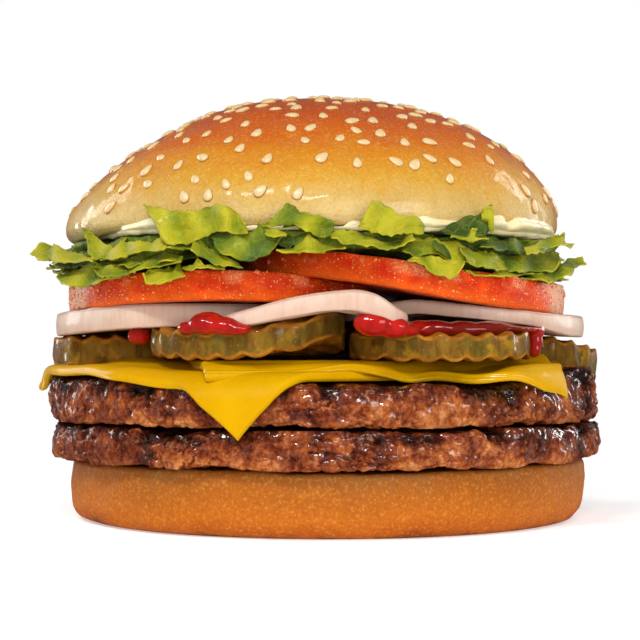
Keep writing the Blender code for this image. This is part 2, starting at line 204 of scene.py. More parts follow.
def crumbled(points, size, seed):
    """How deep inside its lump each point lies, from 0 in a crease, and a number for the lump."""
    place = points / size
    cell = np.floor(place).astype(np.int64)
    nearest = np.full(place.shape[:-1], 9.0)
    second = nearest.copy()
    label = nearest.copy()
    for step in itertools.product((-1, 0, 1), repeat=3):
        other = cell + np.array(step)
        centre = other + np.stack([hashed(other, seed + n) for n in range(3)], -1)
        away = np.linalg.norm(place - centre, axis=-1)
        closer = away < nearest
        second = np.where(closer, nearest, np.minimum(second, away))
        label = np.where(closer, hashed(other, seed + 3), label)
        nearest = np.minimum(nearest, away)
    return second - nearest, label


# ---------------------------------------------------------------- meshes

def add_piece(name, points, faces, finish, replaces=(), marks=None):
    """A mesh piece in the burger. faces is a list of arrays with one row of corners per face."""
    mesh = bpy.data.meshes.new(name)
    corners = np.concatenate([part.ravel() for part in faces]).astype(np.int32)
    sizes = np.concatenate([np.full(len(part), part.shape[1]) for part in faces])
    starts = (np.cumsum(sizes) - sizes).astype(np.int32)
    mesh.vertices.add(len(points))
    mesh.vertices.foreach_set("co", (points * MM).astype(np.float32).ravel())
    mesh.loops.add(len(corners))
    mesh.loops.foreach_set("vertex_index", corners)
    mesh.polygons.add(len(sizes))
    mesh.polygons.foreach_set("loop_start", starts)
    mesh.update(calc_edges=True)
    mesh.shade_smooth()
    for label, values in (marks or {}).items():
        attribute = mesh.attributes.new(label, "FLOAT", "POINT")
        attribute.data.foreach_set("value", values.astype(np.float32).ravel())
    mesh.materials.append(finish.material)
    piece = bpy.data.objects.new(name, mesh)
    bpy.context.scene.collection.objects.link(piece)
    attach(piece, "root")
    if replaces:
        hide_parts(*replaces)
    return piece


def closed_rings(grid):
    """Points and faces of a body whose rings run from the middle of its top to that of its base."""
    rings, segments, _ = grid.shape
    points = np.concatenate([grid.reshape(-1, 3), grid[:1].mean(1), grid[-1:].mean(1)])
    index = np.arange(rings * segments).reshape(rings, segments)
    following = np.roll(index, -1, axis=1)
    walls = np.stack([index[:-1], index[1:], following[1:], following[:-1]], -1).reshape(-1, 4)
    top = np.full(segments, rings * segments)
    caps = np.concatenate([np.stack([top, index[0], following[0]], -1),
                           np.stack([top + 1, following[-1], index[-1]], -1)])
    return points, [walls, caps]


def ring_normals(grid):
    down = np.gradient(grid, axis=0)
    around = np.roll(grid, -1, 1) - np.roll(grid, 1, 1)
    normals = np.cross(down, around)
    return normals / np.maximum(np.linalg.norm(normals, axis=-1, keepdims=True), 1e-9)


def with_poles(values):
    """Ring values with one more for the top pole and one for the bottom pole."""
    return np.concatenate([values.ravel(), [values[0].mean(), values[-1].mean()]])


def slice_profile(edge, flats, eases, walls):
    """Rings of a slice, top middle to bottom middle: share of the way out, inset, level, lift."""
    share = np.linspace(0.06, 1.0, flats)[:-1]
    lean = np.linspace(0.0, 0.5 * math.pi, eases)
    wall = np.linspace(1.0, 0.0, walls + 2)[1:-1]
    flat = np.stack([share, share * 0 + edge, share * 0 + 1.0, share * 0], -1)
    ease = np.stack([lean * 0 + 1.0, edge * (1 - np.sin(lean)), lean * 0 + 1.0,
                     edge * (np.cos(lean) - 1)], -1)
    side = np.stack([wall * 0 + 1.0, wall * 0, wall, edge * (1 - 2 * wall)], -1)
    turned = np.array([1.0, 1.0, 0.0, -1.0])
    under = np.concatenate([flat, ease])[::-1] * turned
    return np.concatenate([flat, ease, side, under])


class Survey:
    """The outline and the heights of a packed layer, read with upright rays and smoothed."""

    def __init__(self, node, segments, blur=4.0, margin=2.6):
        low, high = (np.array(corner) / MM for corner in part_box(node))
        self.middle = 0.5 * (low + high)
        self.angles = TURN * np.arange(segments) / segments
        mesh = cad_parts[node].data
        self.tree = BVHTree.FromPolygons([v.co / MM for v in mesh.vertices],
                                         [tuple(p.vertices) for p in mesh.polygons])
        self.floor, self.roof = low[2] - 1.0, high[2] + 1.0
        self.blur = blur
        reach = float(np.linalg.norm((high - low)[:2]))
        self.outline = self.softened(np.array([self.edge(a, reach) for a in self.angles]))
        self.shares = np.array([0.0, 0.25, 0.5, 0.7, 0.85, 0.93, 1.0])
        tops, bottoms = [], []
        for share in self.shares:
            away = np.minimum(share * self.outline, self.outline - margin)
            heights = np.array([self.heights(a, r) for a, r in zip(self.angles, away)])
            tops.append(self.softened(heights[:, 1]))
            bottoms.append(self.softened(heights[:, 0]))
        self.tops, self.bottoms = np.array(tops), np.array(bottoms)

    def spot(self, angle, reach, z):
        return Vector((self.middle[0] + reach * math.cos(angle),
                       self.middle[1] + reach * math.sin(angle), z))

    def edge(self, angle, reach):
        inside, outside = 0.0, reach
        for _ in range(12):
            halfway = 0.5 * (inside + outside)
            hit = self.tree.ray_cast(self.spot(angle, halfway, self.roof), Vector((0, 0, -1)))[0]
            inside, outside = (halfway, outside) if hit else (inside, halfway)
        return inside

    def heights(self, angle, reach):
        above = self.tree.ray_cast(self.spot(angle, reach, self.roof), Vector((0, 0, -1)))[0]
        below = self.tree.ray_cast(self.spot(angle, reach, self.floor), Vector((0, 0, 1)))[0]
        return (below.z, above.z) if above and below else (self.middle[2], self.middle[2])

    def softened(self, values):
        """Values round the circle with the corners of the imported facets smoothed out."""
        waves = np.fft.rfft(values)
        order = np.arange(len(waves)) * math.radians(self.blur)
        return np.fft.irfft(waves * np.exp(-0.5 * order * order), len(values))

    def grid(self, profile, bulge=0.0):
        """A grid of points for rings of (share, inset, level, lift)."""
        share, inset, level, lift = (column[:, None] for column in profile.T)
        reach = (self.outline[None] - inset + bulge * 4 * level * (1 - level)) * share
        part = np.clip(reach / self.outline[None], 0.0, 1.0)
        column = np.broadcast_to(np.arange(len(self.angles)), part.shape)
        step = np.clip(np.searchsorted(self.shares, part, side="right") - 1, 0, len(self.shares) - 2)
        ahead = (part - self.shares[step]) / (self.shares[step + 1] - self.shares[step])
        top = self.tops[step, column] * (1 - ahead) + self.tops[step + 1, column] * ahead
        bottom = self.bottoms[step, column] * (1 - ahead) + self.bottoms[step + 1, column] * ahead
        x = self.middle[0] + reach * np.cos(self.angles)
        y = self.middle[1] + reach * np.sin(self.angles)
        return np.stack([x, y, bottom + (top - bottom) * level + lift], -1)


def scattered(shape, faces, places, normals, turns, sizes):
    """Many copies of a small shape, each standing on its place with its z along the normal."""
    away = np.where(np.abs(normals[:, 2:]) < 0.9, [[0.0, 0.0, 1.0]], [[1.0, 0.0, 0.0]])
    side = np.cross(away, normals)
    side /= np.linalg.norm(side, axis=-1, keepdims=True)
    ahead = np.cross(normals, side)
    cos, sin = np.cos(turns)[:, None], np.sin(turns)[:, None]
    first, second = side * cos + ahead * sin, ahead * cos - side * sin
    spread = shape[None] * sizes[:, None]
    points = (places[:, None] + spread[..., :1] * first[:, None] + spread[..., 1:2] * second[:, None]
              + spread[..., 2:] * normals[:, None])
    offset = (np.arange(len(places)) * len(shape))[:, None, None]
    return points.reshape(-1, 3), [(part[None] + offset).reshape(-1, part.shape[1]) for part in faces]


def pebble(rings, segments):
    """A ball one across each way from its middle, as rings from its top to its base."""
    fall = np.linspace(0.0, math.pi, rings + 2)[1:-1, None]
    around = TURN * np.arange(segments)[None] / segments
    return np.stack([np.sin(fall) * np.cos(around), np.sin(fall) * np.sin(around),
                     np.cos(fall) + around * 0], -1)


# ---------------------------------------------------------------- finishes

def crust_finish(name, colours, spots, mottle, low, high, shine, back=0.0, tan=0.0):
    """Baked crust: colours climb from low to high and wander a little with the browning.
    spots are the colours of its dark and its light specks, mottle how strong they are. The
    colours stand lower by back on the far side and mix by tan towards a dark brown there:
    painted shade along the silhouette where the dome turns away."""
    crust = Finish(name)
    wander = (crust.grain(15.0, 4.0) - 0.5) * 9.0 + (crust.grain(2.6, 3.0) - 0.5) * 4.0
    # far: the far side, where the dome turns away at its silhouette; it carries painted shade
    far = crust.along("Y").between(-25.0, -9.0)
    baked = (crust.along("Z") + wander + far * back - low) / (high - low)
    colour = baked.ramp(*colours)
    crumb = crust.grain(0.65, 2.0, 0.65)
    colour = crust.mix(crumb.between(0.53, 0.68) * mottle, colour, spots[0])
    colour = crust.mix(crumb.between(0.47, 0.32) * mottle, colour, spots[1])
    # painted shade: dark brown mixed in on the far side, along the silhouette
    colour = crust.mix(far * tan, colour, (0.34, 0.105, 0.022))
    fine = crust.bump(crumb, 0.22)
    skin = crust.bump(crust.grain(1.7, 3.0, 0.65, (1.0, 1.0, 0.40)), 0.30, fine)
    roughness = crust.grain(5.0, 3.0).between(0.25, 0.8) * 0.24 + shine
    return crust.surface(base_color=colour, roughness=roughness, normal=skin, specular_ior_level=0.12)


def crown_finish():
    """Egg-washed dome: cream where it tucks in, amber above that and chestnut on top. The cream low down is partly
    painted light, lifted against the shade under the tuck.
    """
    # the lowest stop is lifted as painted light against the shade where the crown tucks in
    stops = ((0.0, (0.74, 0.54, 0.22)), (0.14, (0.62, 0.40, 0.110)), (0.30, (0.63, 0.32, 0.028)),
             (0.46, (0.63, 0.225, 0.009)), (0.60, (0.60, 0.122, 0.002)), (0.78, (0.51, 0.066, 0.001)),
             (1.0, (0.40, 0.048, 0.001)))
    spots = ((0.50, 0.17, 0.02), (0.82, 0.58, 0.24))
    crust = crust_finish("glazed_crust", stops, spots, 0.22, 62.0, 93.0, 0.32, 7.0, 0.62)
    glaze = crust.grain(7.0, 4.0, 0.65).between(0.44, 0.66) * 0.45 + 0.16
    glaze = glaze * (1 - crust.along("Z").between(80.0, 91.0) * 0.7) * (1 - crust.along("X").between(38.0, 52.0) * 0.6)
    return crust.surface(coat_weight=glaze, coat_roughness=0.09, coat_ior=1.6, subsurface_weight=0.05,
                         subsurface_scale=0.003)


def heel_finish():
    """Dry baked side: darkest at the foot, tan under the meat."""
    stops = ((0.0, (0.24, 0.050, 0.005)), (0.08, (0.42, 0.092, 0.006)), (0.30, (0.48, 0.126, 0.009)),
             (0.66, (0.38, 0.106, 0.010)), (0.86, (0.34, 0.105, 0.016)), (1.0, (0.33, 0.125, 0.028)))
    spots = ((0.30, 0.064, 0.005), (0.72, 0.30, 0.040))
    return crust_finish("heel_crust", stops, spots, 0.40, 0.0, 13.4, 0.56).surface(
        subsurface_weight=0.03, subsurface_scale=0.002)


def meat_finish():
    """Griddled ground beef: red-brown flesh, tan where it is least seared, wet char on top, with painted shade in its
    cracks and creases and at its left and right ends.
    """
    meat = Finish("seared_beef")
    sear = meat.mark("sear")
    # the crack mark darkens the tone: painted shade in the cracks and creases
    crack = meat.mark("crack")
    patches = meat.grain(6.0, 4.0, 0.65) * 1.50 + meat.grain(1.1, 3.0, 0.7) * 1.00 - 0.70
    # painted shade: the tone is darkened at the left and right ends of the patties
    ends = meat.along("X").between(-28.0, -50.0) + meat.along("X").between(46.0, 56.0)
    tone = patches - sear * 0.34 - crack * 0.32 - ends * 0.10
    colour = tone.ramp((0.0, (0.012, 0.003, 0.002)), (0.18, (0.044, 0.008, 0.003)),
                       (0.36, (0.115, 0.019, 0.006)), (0.54, (0.22, 0.046, 0.012)),
                       (0.72, (0.38, 0.102, 0.022)), (0.92, (0.57, 0.23, 0.078)))
    fat = meat.grain(1.6, 3.0, 0.6).between(0.60, 0.70)
    colour = meat.mix(fat * 0.30, colour, (0.58, 0.28, 0.12))
    fibres = meat.bump(meat.grain(0.75, 1.5, 0.6), 0.32)
    relief = meat.bump(meat.spots(1.3, "SMOOTH_F1"), 0.24, fibres)
    wet = meat.grain(2.2, 3.0, 0.65).between(0.46, 0.58)
    return meat.surface(base_color=colour, roughness=0.66 - wet * 0.20, normal=relief,
                        coat_weight=(wet * 0.95 + 0.05) * (1 - ends * 0.68), coat_roughness=0.05, coat_ior=1.8,
                        specular_ior_level=0.05)


def cheese_finish():
    """Processed cheese, warm and a little waxy, shinier where it is folded or melts."""
    cheese = Finish("melted_cheese")
    cloud = cheese.grain(9.0, 3.0)
    colour = cheese.mix(cloud.between(0.3, 0.7), (0.60, 0.31, 0.0006), (0.65, 0.355, 0.0008))
    relief = cheese.bump(cheese.grain(3.2, 3.0, 0.5), 0.16)
    return cheese.surface(base_color=colour, roughness=cheese.grain(5.0).between(0.2, 0.8) * 0.12 + 0.34,
                          normal=relief, subsurface_weight=0.12, subsurface_scale=0.002,
                          subsurface_radius=(1.0, 0.6, 0.02), coat_weight=cheese.mark("gloss") * 0.80,
                          coat_roughness=0.09, specular_ior_level=0.05)


def pickle_finish():
    """Olive rind with upright streaks round amber flesh."""
    pickle = Finish("pickle_brine")
    wall = pickle.mark("wall")
    flesh = pickle.mix(pickle.grain(3.0, 4.0, 0.6).between(0.35, 0.68), (0.25, 0.082, 0.007),
                       (0.44, 0.18, 0.014))
    upright = pickle.grain(2.2, 3.0, 0.6, (1.0, 1.0, 0.30))
    rind = pickle.mix(upright.between(0.36, 0.64), (0.112, 0.051, 0.007), (0.225, 0.112, 0.012))
    green = pickle.grain(7.0, 2.0).between(0.46, 0.62)
    rind = pickle.mix(green * 0.45, rind, (0.090, 0.082, 0.010))
    gold = pickle.grain(5.0, 3.0).between(0.56, 0.70)
    rind = pickle.mix(gold * 0.7, rind, (0.40, 0.20, 0.015))
    flecks = pickle.spots(0.9).between(0.24, 0.08)
    rind = pickle.mix(flecks * 0.35, rind, (0.34, 0.24, 0.06))
    colour = pickle.mix(wall, flesh, rind)
    relief = pickle.bump(pickle.grain(0.9, 3.0, 0.6), 0.16)
    return pickle.surface(base_color=colour, roughness=pickle.grain(3.0).between(0.3, 0.7) * 0.15 + 0.34,
                          normal=relief, coat_weight=pickle.grain(2.8, 3.0).between(0.54, 0.64) * 0.60,
                          coat_roughness=0.08, specular_ior_level=0.05)


def ketchup_finish():
    sauce = Finish("tomato_sauce")
    colour = sauce.mix(sauce.grain(3.0, 3.0).between(0.35, 0.7), (0.30, 0.004, 0.003),
                       (0.50, 0.009, 0.005))
    # painted shade: the sauce under the right onion is darkened towards maroon
    deep = sauce.along("X").between(16.0, 21.0) * sauce.along("X").between(44.0, 39.0)
    colour = sauce.mix(deep * 0.84, colour, (0.115, 0.003, 0.001))
    relief = sauce.bump(sauce.grain(1.2, 3.0, 0.6), 0.10)
    return sauce.surface(base_color=colour, roughness=0.30, normal=relief, coat_weight=1.0,
                         coat_roughness=0.03, coat_ior=1.55, specular_ior_level=0.02)


def onion_finish():
    """Pale wet flesh with faint upright strands, rosy low on the wall, a brown skin at the top rim."""
    onion = Finish("onion_flesh")
    strands = onion.grain(0.7, 3.0, 0.6, (1.0, 1.0, 0.10))
    low = onion.mark("low")
    cloud = onion.grain(8.0, 3.0)
    pale = onion.mix(cloud.between(0.3, 0.7), (0.635, 0.44, 0.335), (0.72, 0.55, 0.44))
    rosy = onion.mix(low.between(0.75, 0.05) * 0.30, pale, (0.60, 0.33, 0.22))
    colour = onion.mix(strands.between(0.44, 0.70) * 0.24, rosy, (0.50, 0.25, 0.18))
    skin = onion.mark("wall") * low.between(0.90, 1.0)
    colour = onion.mix(skin * 0.5, colour, (0.36, 0.15, 0.10))
    relief = onion.bump(strands, 0.07)
    return onion.surface(base_color=colour, roughness=0.36, normal=relief, coat_weight=0.12,
                         coat_roughness=0.12, subsurface_weight=0.10, subsurface_scale=0.002,
                         subsurface_radius=(1.0, 0.5, 0.3), specular_ior_level=0.15)


def tomato_finish():
    """Red skin with fine pale dots painted as glints of wet specks, a painted peach sheen of specks, an orange lower
    edge, wetter flesh, and a painted highlight at the ends of the walls.
    """
    tomato = Finish("tomato_skin")
    wall = tomato.mark("wall")
    low = tomato.mark("low")
    speck = tomato.grain(0.42, 2.0, 0.6).between(0.46, 0.60)
    skin = tomato.mix(tomato.grain(6.0, 4.0, 0.6).between(0.32, 0.68), (0.63, 0.026, 0.004),
                      (0.84, 0.092, 0.008))
    skin = tomato.mix(low.between(0.42, 0.02) * 0.5, skin, (0.84, 0.14, 0.009))
    # painted highlight: a peach sheen mixed into the skin colour high on the wall
    sheen = tomato.grain(6.0, 2.0, 0.5, (1.0, 1.0, 0.5)).between(0.52, 0.64) * low.between(0.45, 0.75)
    skin = tomato.mix(sheen * (speck * 0.55 + 0.15), skin, (0.90, 0.40, 0.18))
    # painted glints: pale dots stand for the sparkle of fine wet specks
    dots = tomato.spots(0.7).between(0.26, 0.08)
    skin = tomato.mix(dots * 0.70, skin, (0.92, 0.34, 0.10))
    flesh = tomato.mix(tomato.grain(4.0, 4.0, 0.6).between(0.35, 0.7), (0.36, 0.012, 0.004),
                       (0.60, 0.06, 0.015))
    colour = tomato.mix(wall, flesh, skin)
    # painted highlight: the left and right ends of the walls are lightened to pale peach, as if rim-lit
    colour = tomato.mix(tomato.mark("end") * (speck * 0.38 + 0.58), colour, (0.90, 0.60, 0.38))
    relief = tomato.bump(speck, 0.06)
    return tomato.surface(base_color=colour, roughness=tomato.grain(3.0).between(0.3, 0.7) * 0.12 + 0.30,
                          normal=relief, coat_weight=dots * 0.7, coat_roughness=0.10,
                          specular_ior_level=0.10)


def leaf_finish(name, tint):
    """Torn leaf: lime to deep olive green, with faint pale ribs and torn rims lightened as painted light shining
    through their thin edges.
    """
    leaf = Finish(name)
    tone = leaf.mark("tone") + (leaf.grain(5.0, 4.0, 0.55) - 0.5) * 0.9
    # painted light: the torn rims are lightened as if light shone through them
    tone = tone - leaf.mark("rim") * 0.12
    colour = tone.ramp((0.0, (0.46, 0.41, 0.022)), (0.22, (0.345, 0.345, 0.013)),
                       (0.45, (0.210, 0.245, 0.013)), (0.66, (0.120, 0.170, 0.014)),
                       (0.86, (0.068, 0.125, 0.018)), (1.0, (0.048, 0.080, 0.013)))
    across = leaf.mark("across")
    along = leaf.mark("along")
    sway = (leaf.grain(5.0, 2.0) - 0.5) * 1.2
    ribs = leaf.math("ABSOLUTE", leaf.math("SINE", (along * 1.6 - across * 0.5) * 7.0 + sway * 4.5, 0.0), 0.0)
    lines = ribs.between(0.14, 0.02)
    colour = leaf.mix(lines * 0.30, colour, tint)
    veins = leaf.spots(2.6, "DISTANCE_TO_EDGE").between(0.09, 0.02)
    colour = leaf.mix(veins * 0.11, colour, tint)
    puckers = leaf.bump(leaf.grain(1.4, 3.0, 0.55), 0.30)
    relief = leaf.bump(1.0 - (lines + veins) * 0.5, 0.12, puckers)
    return leaf.surface(base_color=colour, roughness=leaf.grain(4.0).between(0.2, 0.8) * 0.2 + 0.36,
                        normal=relief, subsurface_weight=0.12, subsurface_scale=0.001,
                        subsurface_radius=(0.7, 1.0, 0.1), coat_weight=leaf.grain(3.0).between(0.5, 0.7) * 0.2,
                        coat_roughness=0.16, specular_ior_level=0.08)


def mayonnaise_finish():
    sauce = Finish("mayonnaise_cream")
    colour = sauce.mix(sauce.grain(6.0, 3.0).between(0.3, 0.7), (0.87, 0.72, 0.38), (0.91, 0.82, 0.54))
    relief = sauce.bump(sauce.grain(1.6, 3.0, 0.6), 0.2)
    return sauce.surface(base_color=colour, roughness=0.34, normal=relief, coat_weight=0.15,
                         coat_roughness=0.12, subsurface_weight=0.10, subsurface_scale=0.002,
                         subsurface_radius=(1.0, 0.7, 0.3), specular_ior_level=0.2)


def seed_finish():
    """Cream hulls, amber towards their base as painted contact shadow where they sink into the glaze."""
    seed = Finish("sesame_hull")
    up = seed.mark("up")
    hull = seed.mix(seed.grain(1.4, 2.0), (0.72, 0.46, 0.17), (0.82, 0.66, 0.38))
    # painted contact shadow: the hull darkens to amber towards its base
    colour = seed.mix(up.between(0.82, 0.50) * 0.9, hull, (0.46, 0.16, 0.018))
    relief = seed.bump(seed.grain(0.35, 2.0), 0.05)
    return seed.surface(base_color=colour, roughness=0.36, normal=relief, coat_weight=0.3,
                        coat_roughness=0.18, subsurface_weight=0.08, subsurface_scale=0.001)


def water_finish():
    """Water beads, painted with the red of the skin seen through them and with lighter spots of painted light."""
    water = Finish("water_drops")
    # painted light: bead colours stand for the skin seen through clear water, lighter in spots
    bead = water.mix(water.grain(0.6).between(0.35, 0.65), (0.80, 0.10, 0.02), (0.95, 0.34, 0.12))
    return water.surface(base_color=bead, roughness=water.grain(1.0) * 0.1 + 0.05, coat_weight=0.8,
                         coat_roughness=0.04, specular_ior_level=0.1)


# ---------------------------------------------------------------- buns

def make_heel():
    survey = Survey("heel", 300, blur=3.0)
    low, high = survey.middle[2] * 0.0, survey.roof - 1.0
    drop = np.linspace(0.0, 0.5 * math.pi, 9)
    wall = np.linspace(0.90, 0.36, 18)[1:-1]
    foot = np.linspace(0.0, 0.5 * math.pi, 13)
    flat = np.linspace(0.08, 1.0, 10)[:-1]
    rings = [(s, 1.4, 1.0) for s in flat]
    rings += [(1.0, 1.4 * (1 - math.sin(a)), 0.90 + 0.10 * math.cos(a)) for a in drop]
    rings += [(1.0, -0.25 * math.sin(math.pi * (w - 0.36) / 0.54), w) for w in wall]
    rings += [(1.0, 4.4 * (1 - math.cos(a)), 0.36 * (1 - math.sin(a))) for a in foot]
    rings += [(s, 4.4, 0.0) for s in reversed(flat)]
    rings = np.array(rings)
    reach = (survey.outline[None] - rings[:, 1:2]) * rings[:, :1]
    z = low + (high - low) * rings[:, 2:3] + reach * 0.0
    grid = np.stack([survey.middle[0] + reach * np.cos(survey.angles),
                     survey.middle[1] + reach * np.sin(survey.angles), z], -1)
    held = smooth(0.0, 1.5, grid[..., 2])
    relief = 0.40 * rough(grid, 15.0, 3) + 0.10 * rough(grid, 2.4, 7)
    grid += ring_normals(grid) * (relief * held)[..., None]
    points, faces = closed_rings(grid)
    add_piece("bun_heel", points, faces, heel_finish(), ["heel"])


DOME_POWER = 1.86
CROWN_WIDEST = 2.7         # height of the widest ring above the cut face
CROWN_TUCK = 2.5           # how far the cut face is drawn in
CROWN_LEAN = 2.2
CROWN_SLUMP = 2.6          # how much lower the left shoulder is


def crown_grid():
    survey = Survey("crown", 320, blur=4.0)
    low, high = survey.floor + 1.0, survey.roof - 1.0
    dome = np.linspace(0.05, 0.5 * math.pi, 78)
    under = np.linspace(0.0, 0.5 * math.pi, 14)[1:]
    flat = np.linspace(0.1, 1.0, 8)[:-1]
    share = np.concatenate([np.sin(dome) ** (2 / DOME_POWER), under * 0 + 1.0, flat[::-1]])
    inset = np.concatenate([dome * 0, CROWN_TUCK * (1 - np.cos(under)), flat * 0 + CROWN_TUCK])
    rise = (high - low - CROWN_WIDEST) * np.cos(dome) ** (2 / DOME_POWER)
    z = np.concatenate([CROWN_WIDEST + rise, CROWN_WIDEST * (1 - np.sin(under)), flat * 0])
    reach = (survey.outline[None] - inset[:, None]) * share[:, None]
    lean = CROWN_LEAN * (z / (high - low) - 0.5)
    x = survey.middle[0] + reach * np.cos(survey.angles) + lean[:, None]
    y = survey.middle[1] + reach * np.sin(survey.angles)
    grid = np.stack([x, y, low + z[:, None] + reach * 0], -1)
    side = smooth(0.55, 0.95, share)[:, None] * smooth(0.0, 2.0, grid[..., 2] - low)
    creases = np.abs(noise(grid * np.array([1.0, 1.0, 0.35]), 3.4, 17))
    relief = 0.34 * rough(grid, 16.0, 11) + 0.16 * rough(grid, 5.0, 13) * side - 0.13 * side * smooth(
        0.25, 0.0, creases)
    grid += ring_normals(grid) * relief[..., None]
    slump = CROWN_SLUMP * smooth(-16.0, -56.0, grid[..., 0]) * smooth(62.0, 75.0, grid[..., 2])
    droop = 0.8 * smooth(-43.0, -53.0, grid[..., 0]) * smooth(70.0, 62.0, grid[..., 2])
    grid[..., 2] -= slump + droop
    return grid, len(dome)


def make_crown():
    grid, dome_rings = crown_grid()
    points, faces = closed_rings(grid)
    add_piece("bun_crown", points, faces, crown_finish(), ["crown"])
    make_seeds(grid[:dome_rings - 6])


def make_seeds(dome):
    """Sesame scattered over the dome, closer together towards its top."""
    rng = np.random.default_rng(8)
    normals = ring_normals(dome)
    chosen = []
    rings, segments, _ = dome.shape
    size = np.linalg.norm(dome - dome[:1].mean((0, 1)), axis=-1)
    weight = smooth(4.0, 27.0, dome[..., 2] - dome[..., 2].min()) * 0.66 + 0.34
    weight = weight * (1.0 + 1.3 * smooth(-22.0, -8.0, dome[..., 1]))
    weight = (weight * np.gradient(size, axis=0) * np.linalg.norm(
        dome[..., :2] - dome[:1, :, :2].mean((0, 1)), axis=-1)).ravel()
    order = rng.choice(rings * segments, 2400, replace=False, p=weight / weight.sum())
    flat = dome.reshape(-1, 3)
    for candidate in order:
        spot = flat[candidate]
        if all(np.linalg.norm(spot - flat[other]) > 3.9 for other in chosen):
            chosen.append(candidate)
        if len(chosen) == 345:
            break
    ball = pebble(7, 14)
    ball[..., 1] *= 1.0 - 0.38 * ball[..., 0]
    shape, faces = closed_rings(ball)
    count = len(chosen)
    sizes = np.array([1.62, 1.04, 0.62]) * rng.uniform(0.84, 1.12, (count, 1))
    turns = rng.normal(0.5 * math.pi, 0.75, count)
    upright = normals.reshape(-1, 3)[chosen]
    points, all_faces = scattered(shape, faces, flat[chosen] + upright * 0.02, upright, turns, sizes)
    up = np.tile(shape[:, 2] * 0.5 + 0.5, count)
    add_piece("sesame_seeds", points, all_faces, seed_finish(), marks={"up": up})


# ---------------------------------------------------------------- meat and cheese

LEFT_RISE = 1.0            # how much thicker the upper patty is at its left
RIGHT_RISE = 2.8           # and beyond the right edge of the cheese
PATTY_ROUND = 2.7


def make_patty(node, seed, finish, swell):
    """A pressed patty: soft broad masses with a fine wet grain, cracks and charred notches; the crack mark also
    carries painted shade that darkens the cracks and creases.
    swell is 1 where its ends stand higher beside the cheese, 0 where they lie flat."""
    survey = Survey(node, 960, blur=2.2)
    low, high = survey.floor + 1.0, survey.roof - 1.0
    middle, half = 0.5 * (low + high), 0.5 * (high - low)
    lean = np.linspace(0.0, math.pi, 46)
    flat = np.linspace(0.1, 1.0, 9)[:-1]
    rings = [(s, PATTY_ROUND, 1.0) for s in flat]
    rings += [(1.0, PATTY_ROUND * (1 - math.sin(a) ** 0.42), math.copysign(abs(math.cos(a)) ** 0.9, math.cos(a)))
              for a in lean]
    rings += [(s, PATTY_ROUND, -1.0) for s in reversed(flat)]
    rings = np.array(rings)
    reach = (survey.outline[None] - rings[:, 1:2]) * rings[:, :1]
    grid = np.stack([survey.middle[0] + reach * np.cos(survey.angles),
                     survey.middle[1] + reach * np.sin(survey.angles),
                     middle + half * rings[:, 2:3] + reach * 0], -1)
    level = rings[:, 2:3] + reach * 0
    beyond = grid[..., 0] - 47.5 + 0.24 * (grid[..., 1] + 42.0)
    rise = swell * (LEFT_RISE * smooth(-26.0, -44.0, grid[..., 0]) + RIGHT_RISE * smooth(0.5, 5.0, beyond))
    grid[..., 2] += rise * smooth(-0.5, 1.0, level)
    normals = ring_normals(grid)
    side = smooth(0.75, 0.97, rings[:, :1] * (1 - rings[:, 1:2] / 60.0) * 1.04)
    round_rim = grid * np.array([1.0, 1.0, 0.0])
    warp = np.stack([rough(grid, 5.0, seed + n) for n in (0, 7, 14)], -1) * 1.8
    lumps, _ = crumbled((grid + warp) * np.array([1.0, 1.0, 1.6]), 6.5, seed + 20)
    crack = smooth(0.09, 0.0, lumps) * smooth(0.05, 0.45, noise(grid, 9.0, seed + 22))
    notch = smooth(0.15, 0.55, noise(round_rim, 5.5, seed + 24)) * smooth(-0.10, 0.75, level)
    crease = noise(round_rim + warp * 0.4, 3.0, seed + 26) * smooth(-0.1, 0.4, noise(grid, 13.0, seed + 28))
    relief = 0.75 * rough(grid, 11.0, seed + 40, 2) + 0.50 * noise(grid, 4.2, seed + 42)
    grains, _ = crumbled((grid + 0.5 * warp) * np.array([1.0, 1.0, 1.2]), 3.4, seed + 30)
    loose = 0.15 + 0.85 * smooth(-0.3, 0.5, noise(grid, 8.0, seed + 34))
    relief += 0.70 * loose * (smooth(0.0, 0.45, grains) - 0.6) + 0.24 * rough(grid, 1.25, seed + 46, 2)
    relief += 0.45 * crease - 0.55 * crack - 1.0 * notch
    # painted shade: the creases between the grains join the darkened cracks
    crack = np.maximum(crack, 0.6 * loose * smooth(0.14, 0.0, grains))
    grid += normals * (relief * side)[..., None]
    thin = np.where(level > 0, -1.0, 1.0) * np.abs(level) ** 2
    waves = 0.5 + 0.5 * rough(round_rim, 11.0, seed + 60, 2)
    grid[..., 2] += thin * side * 0.4 * np.clip(waves, 0.0, 1.0)
    grid[..., 2] = np.clip(grid[..., 2], low, high + rise)
    sear = smooth(0.0, 1.0, level) * 0.55 + 0.9 * notch
    sear = sear + 0.5 * smooth(0.1, 0.6, noise(grid, 6.0, seed + 62)) - 0.35 * smooth(-0.3, -0.9, level)
    points, faces = closed_rings(grid)
    add_piece("beef_" + node, points, faces, finish, [node],
              {"crack": with_poles(crack), "sear": with_poles(sear)})


CHEESE_THICK = 2.0


def cheese_steps(side):
    """Places along an edge, close together near both corners where the edge is rounded."""
    corner = np.array([0.0, 0.12, 0.3, 0.55, 0.9]) / side
    inner = np.linspace(1.6 / side, 1.0 - 1.6 / side, 92)
    return np.concatenate([corner, inner, 1.0 - corner[::-1]])


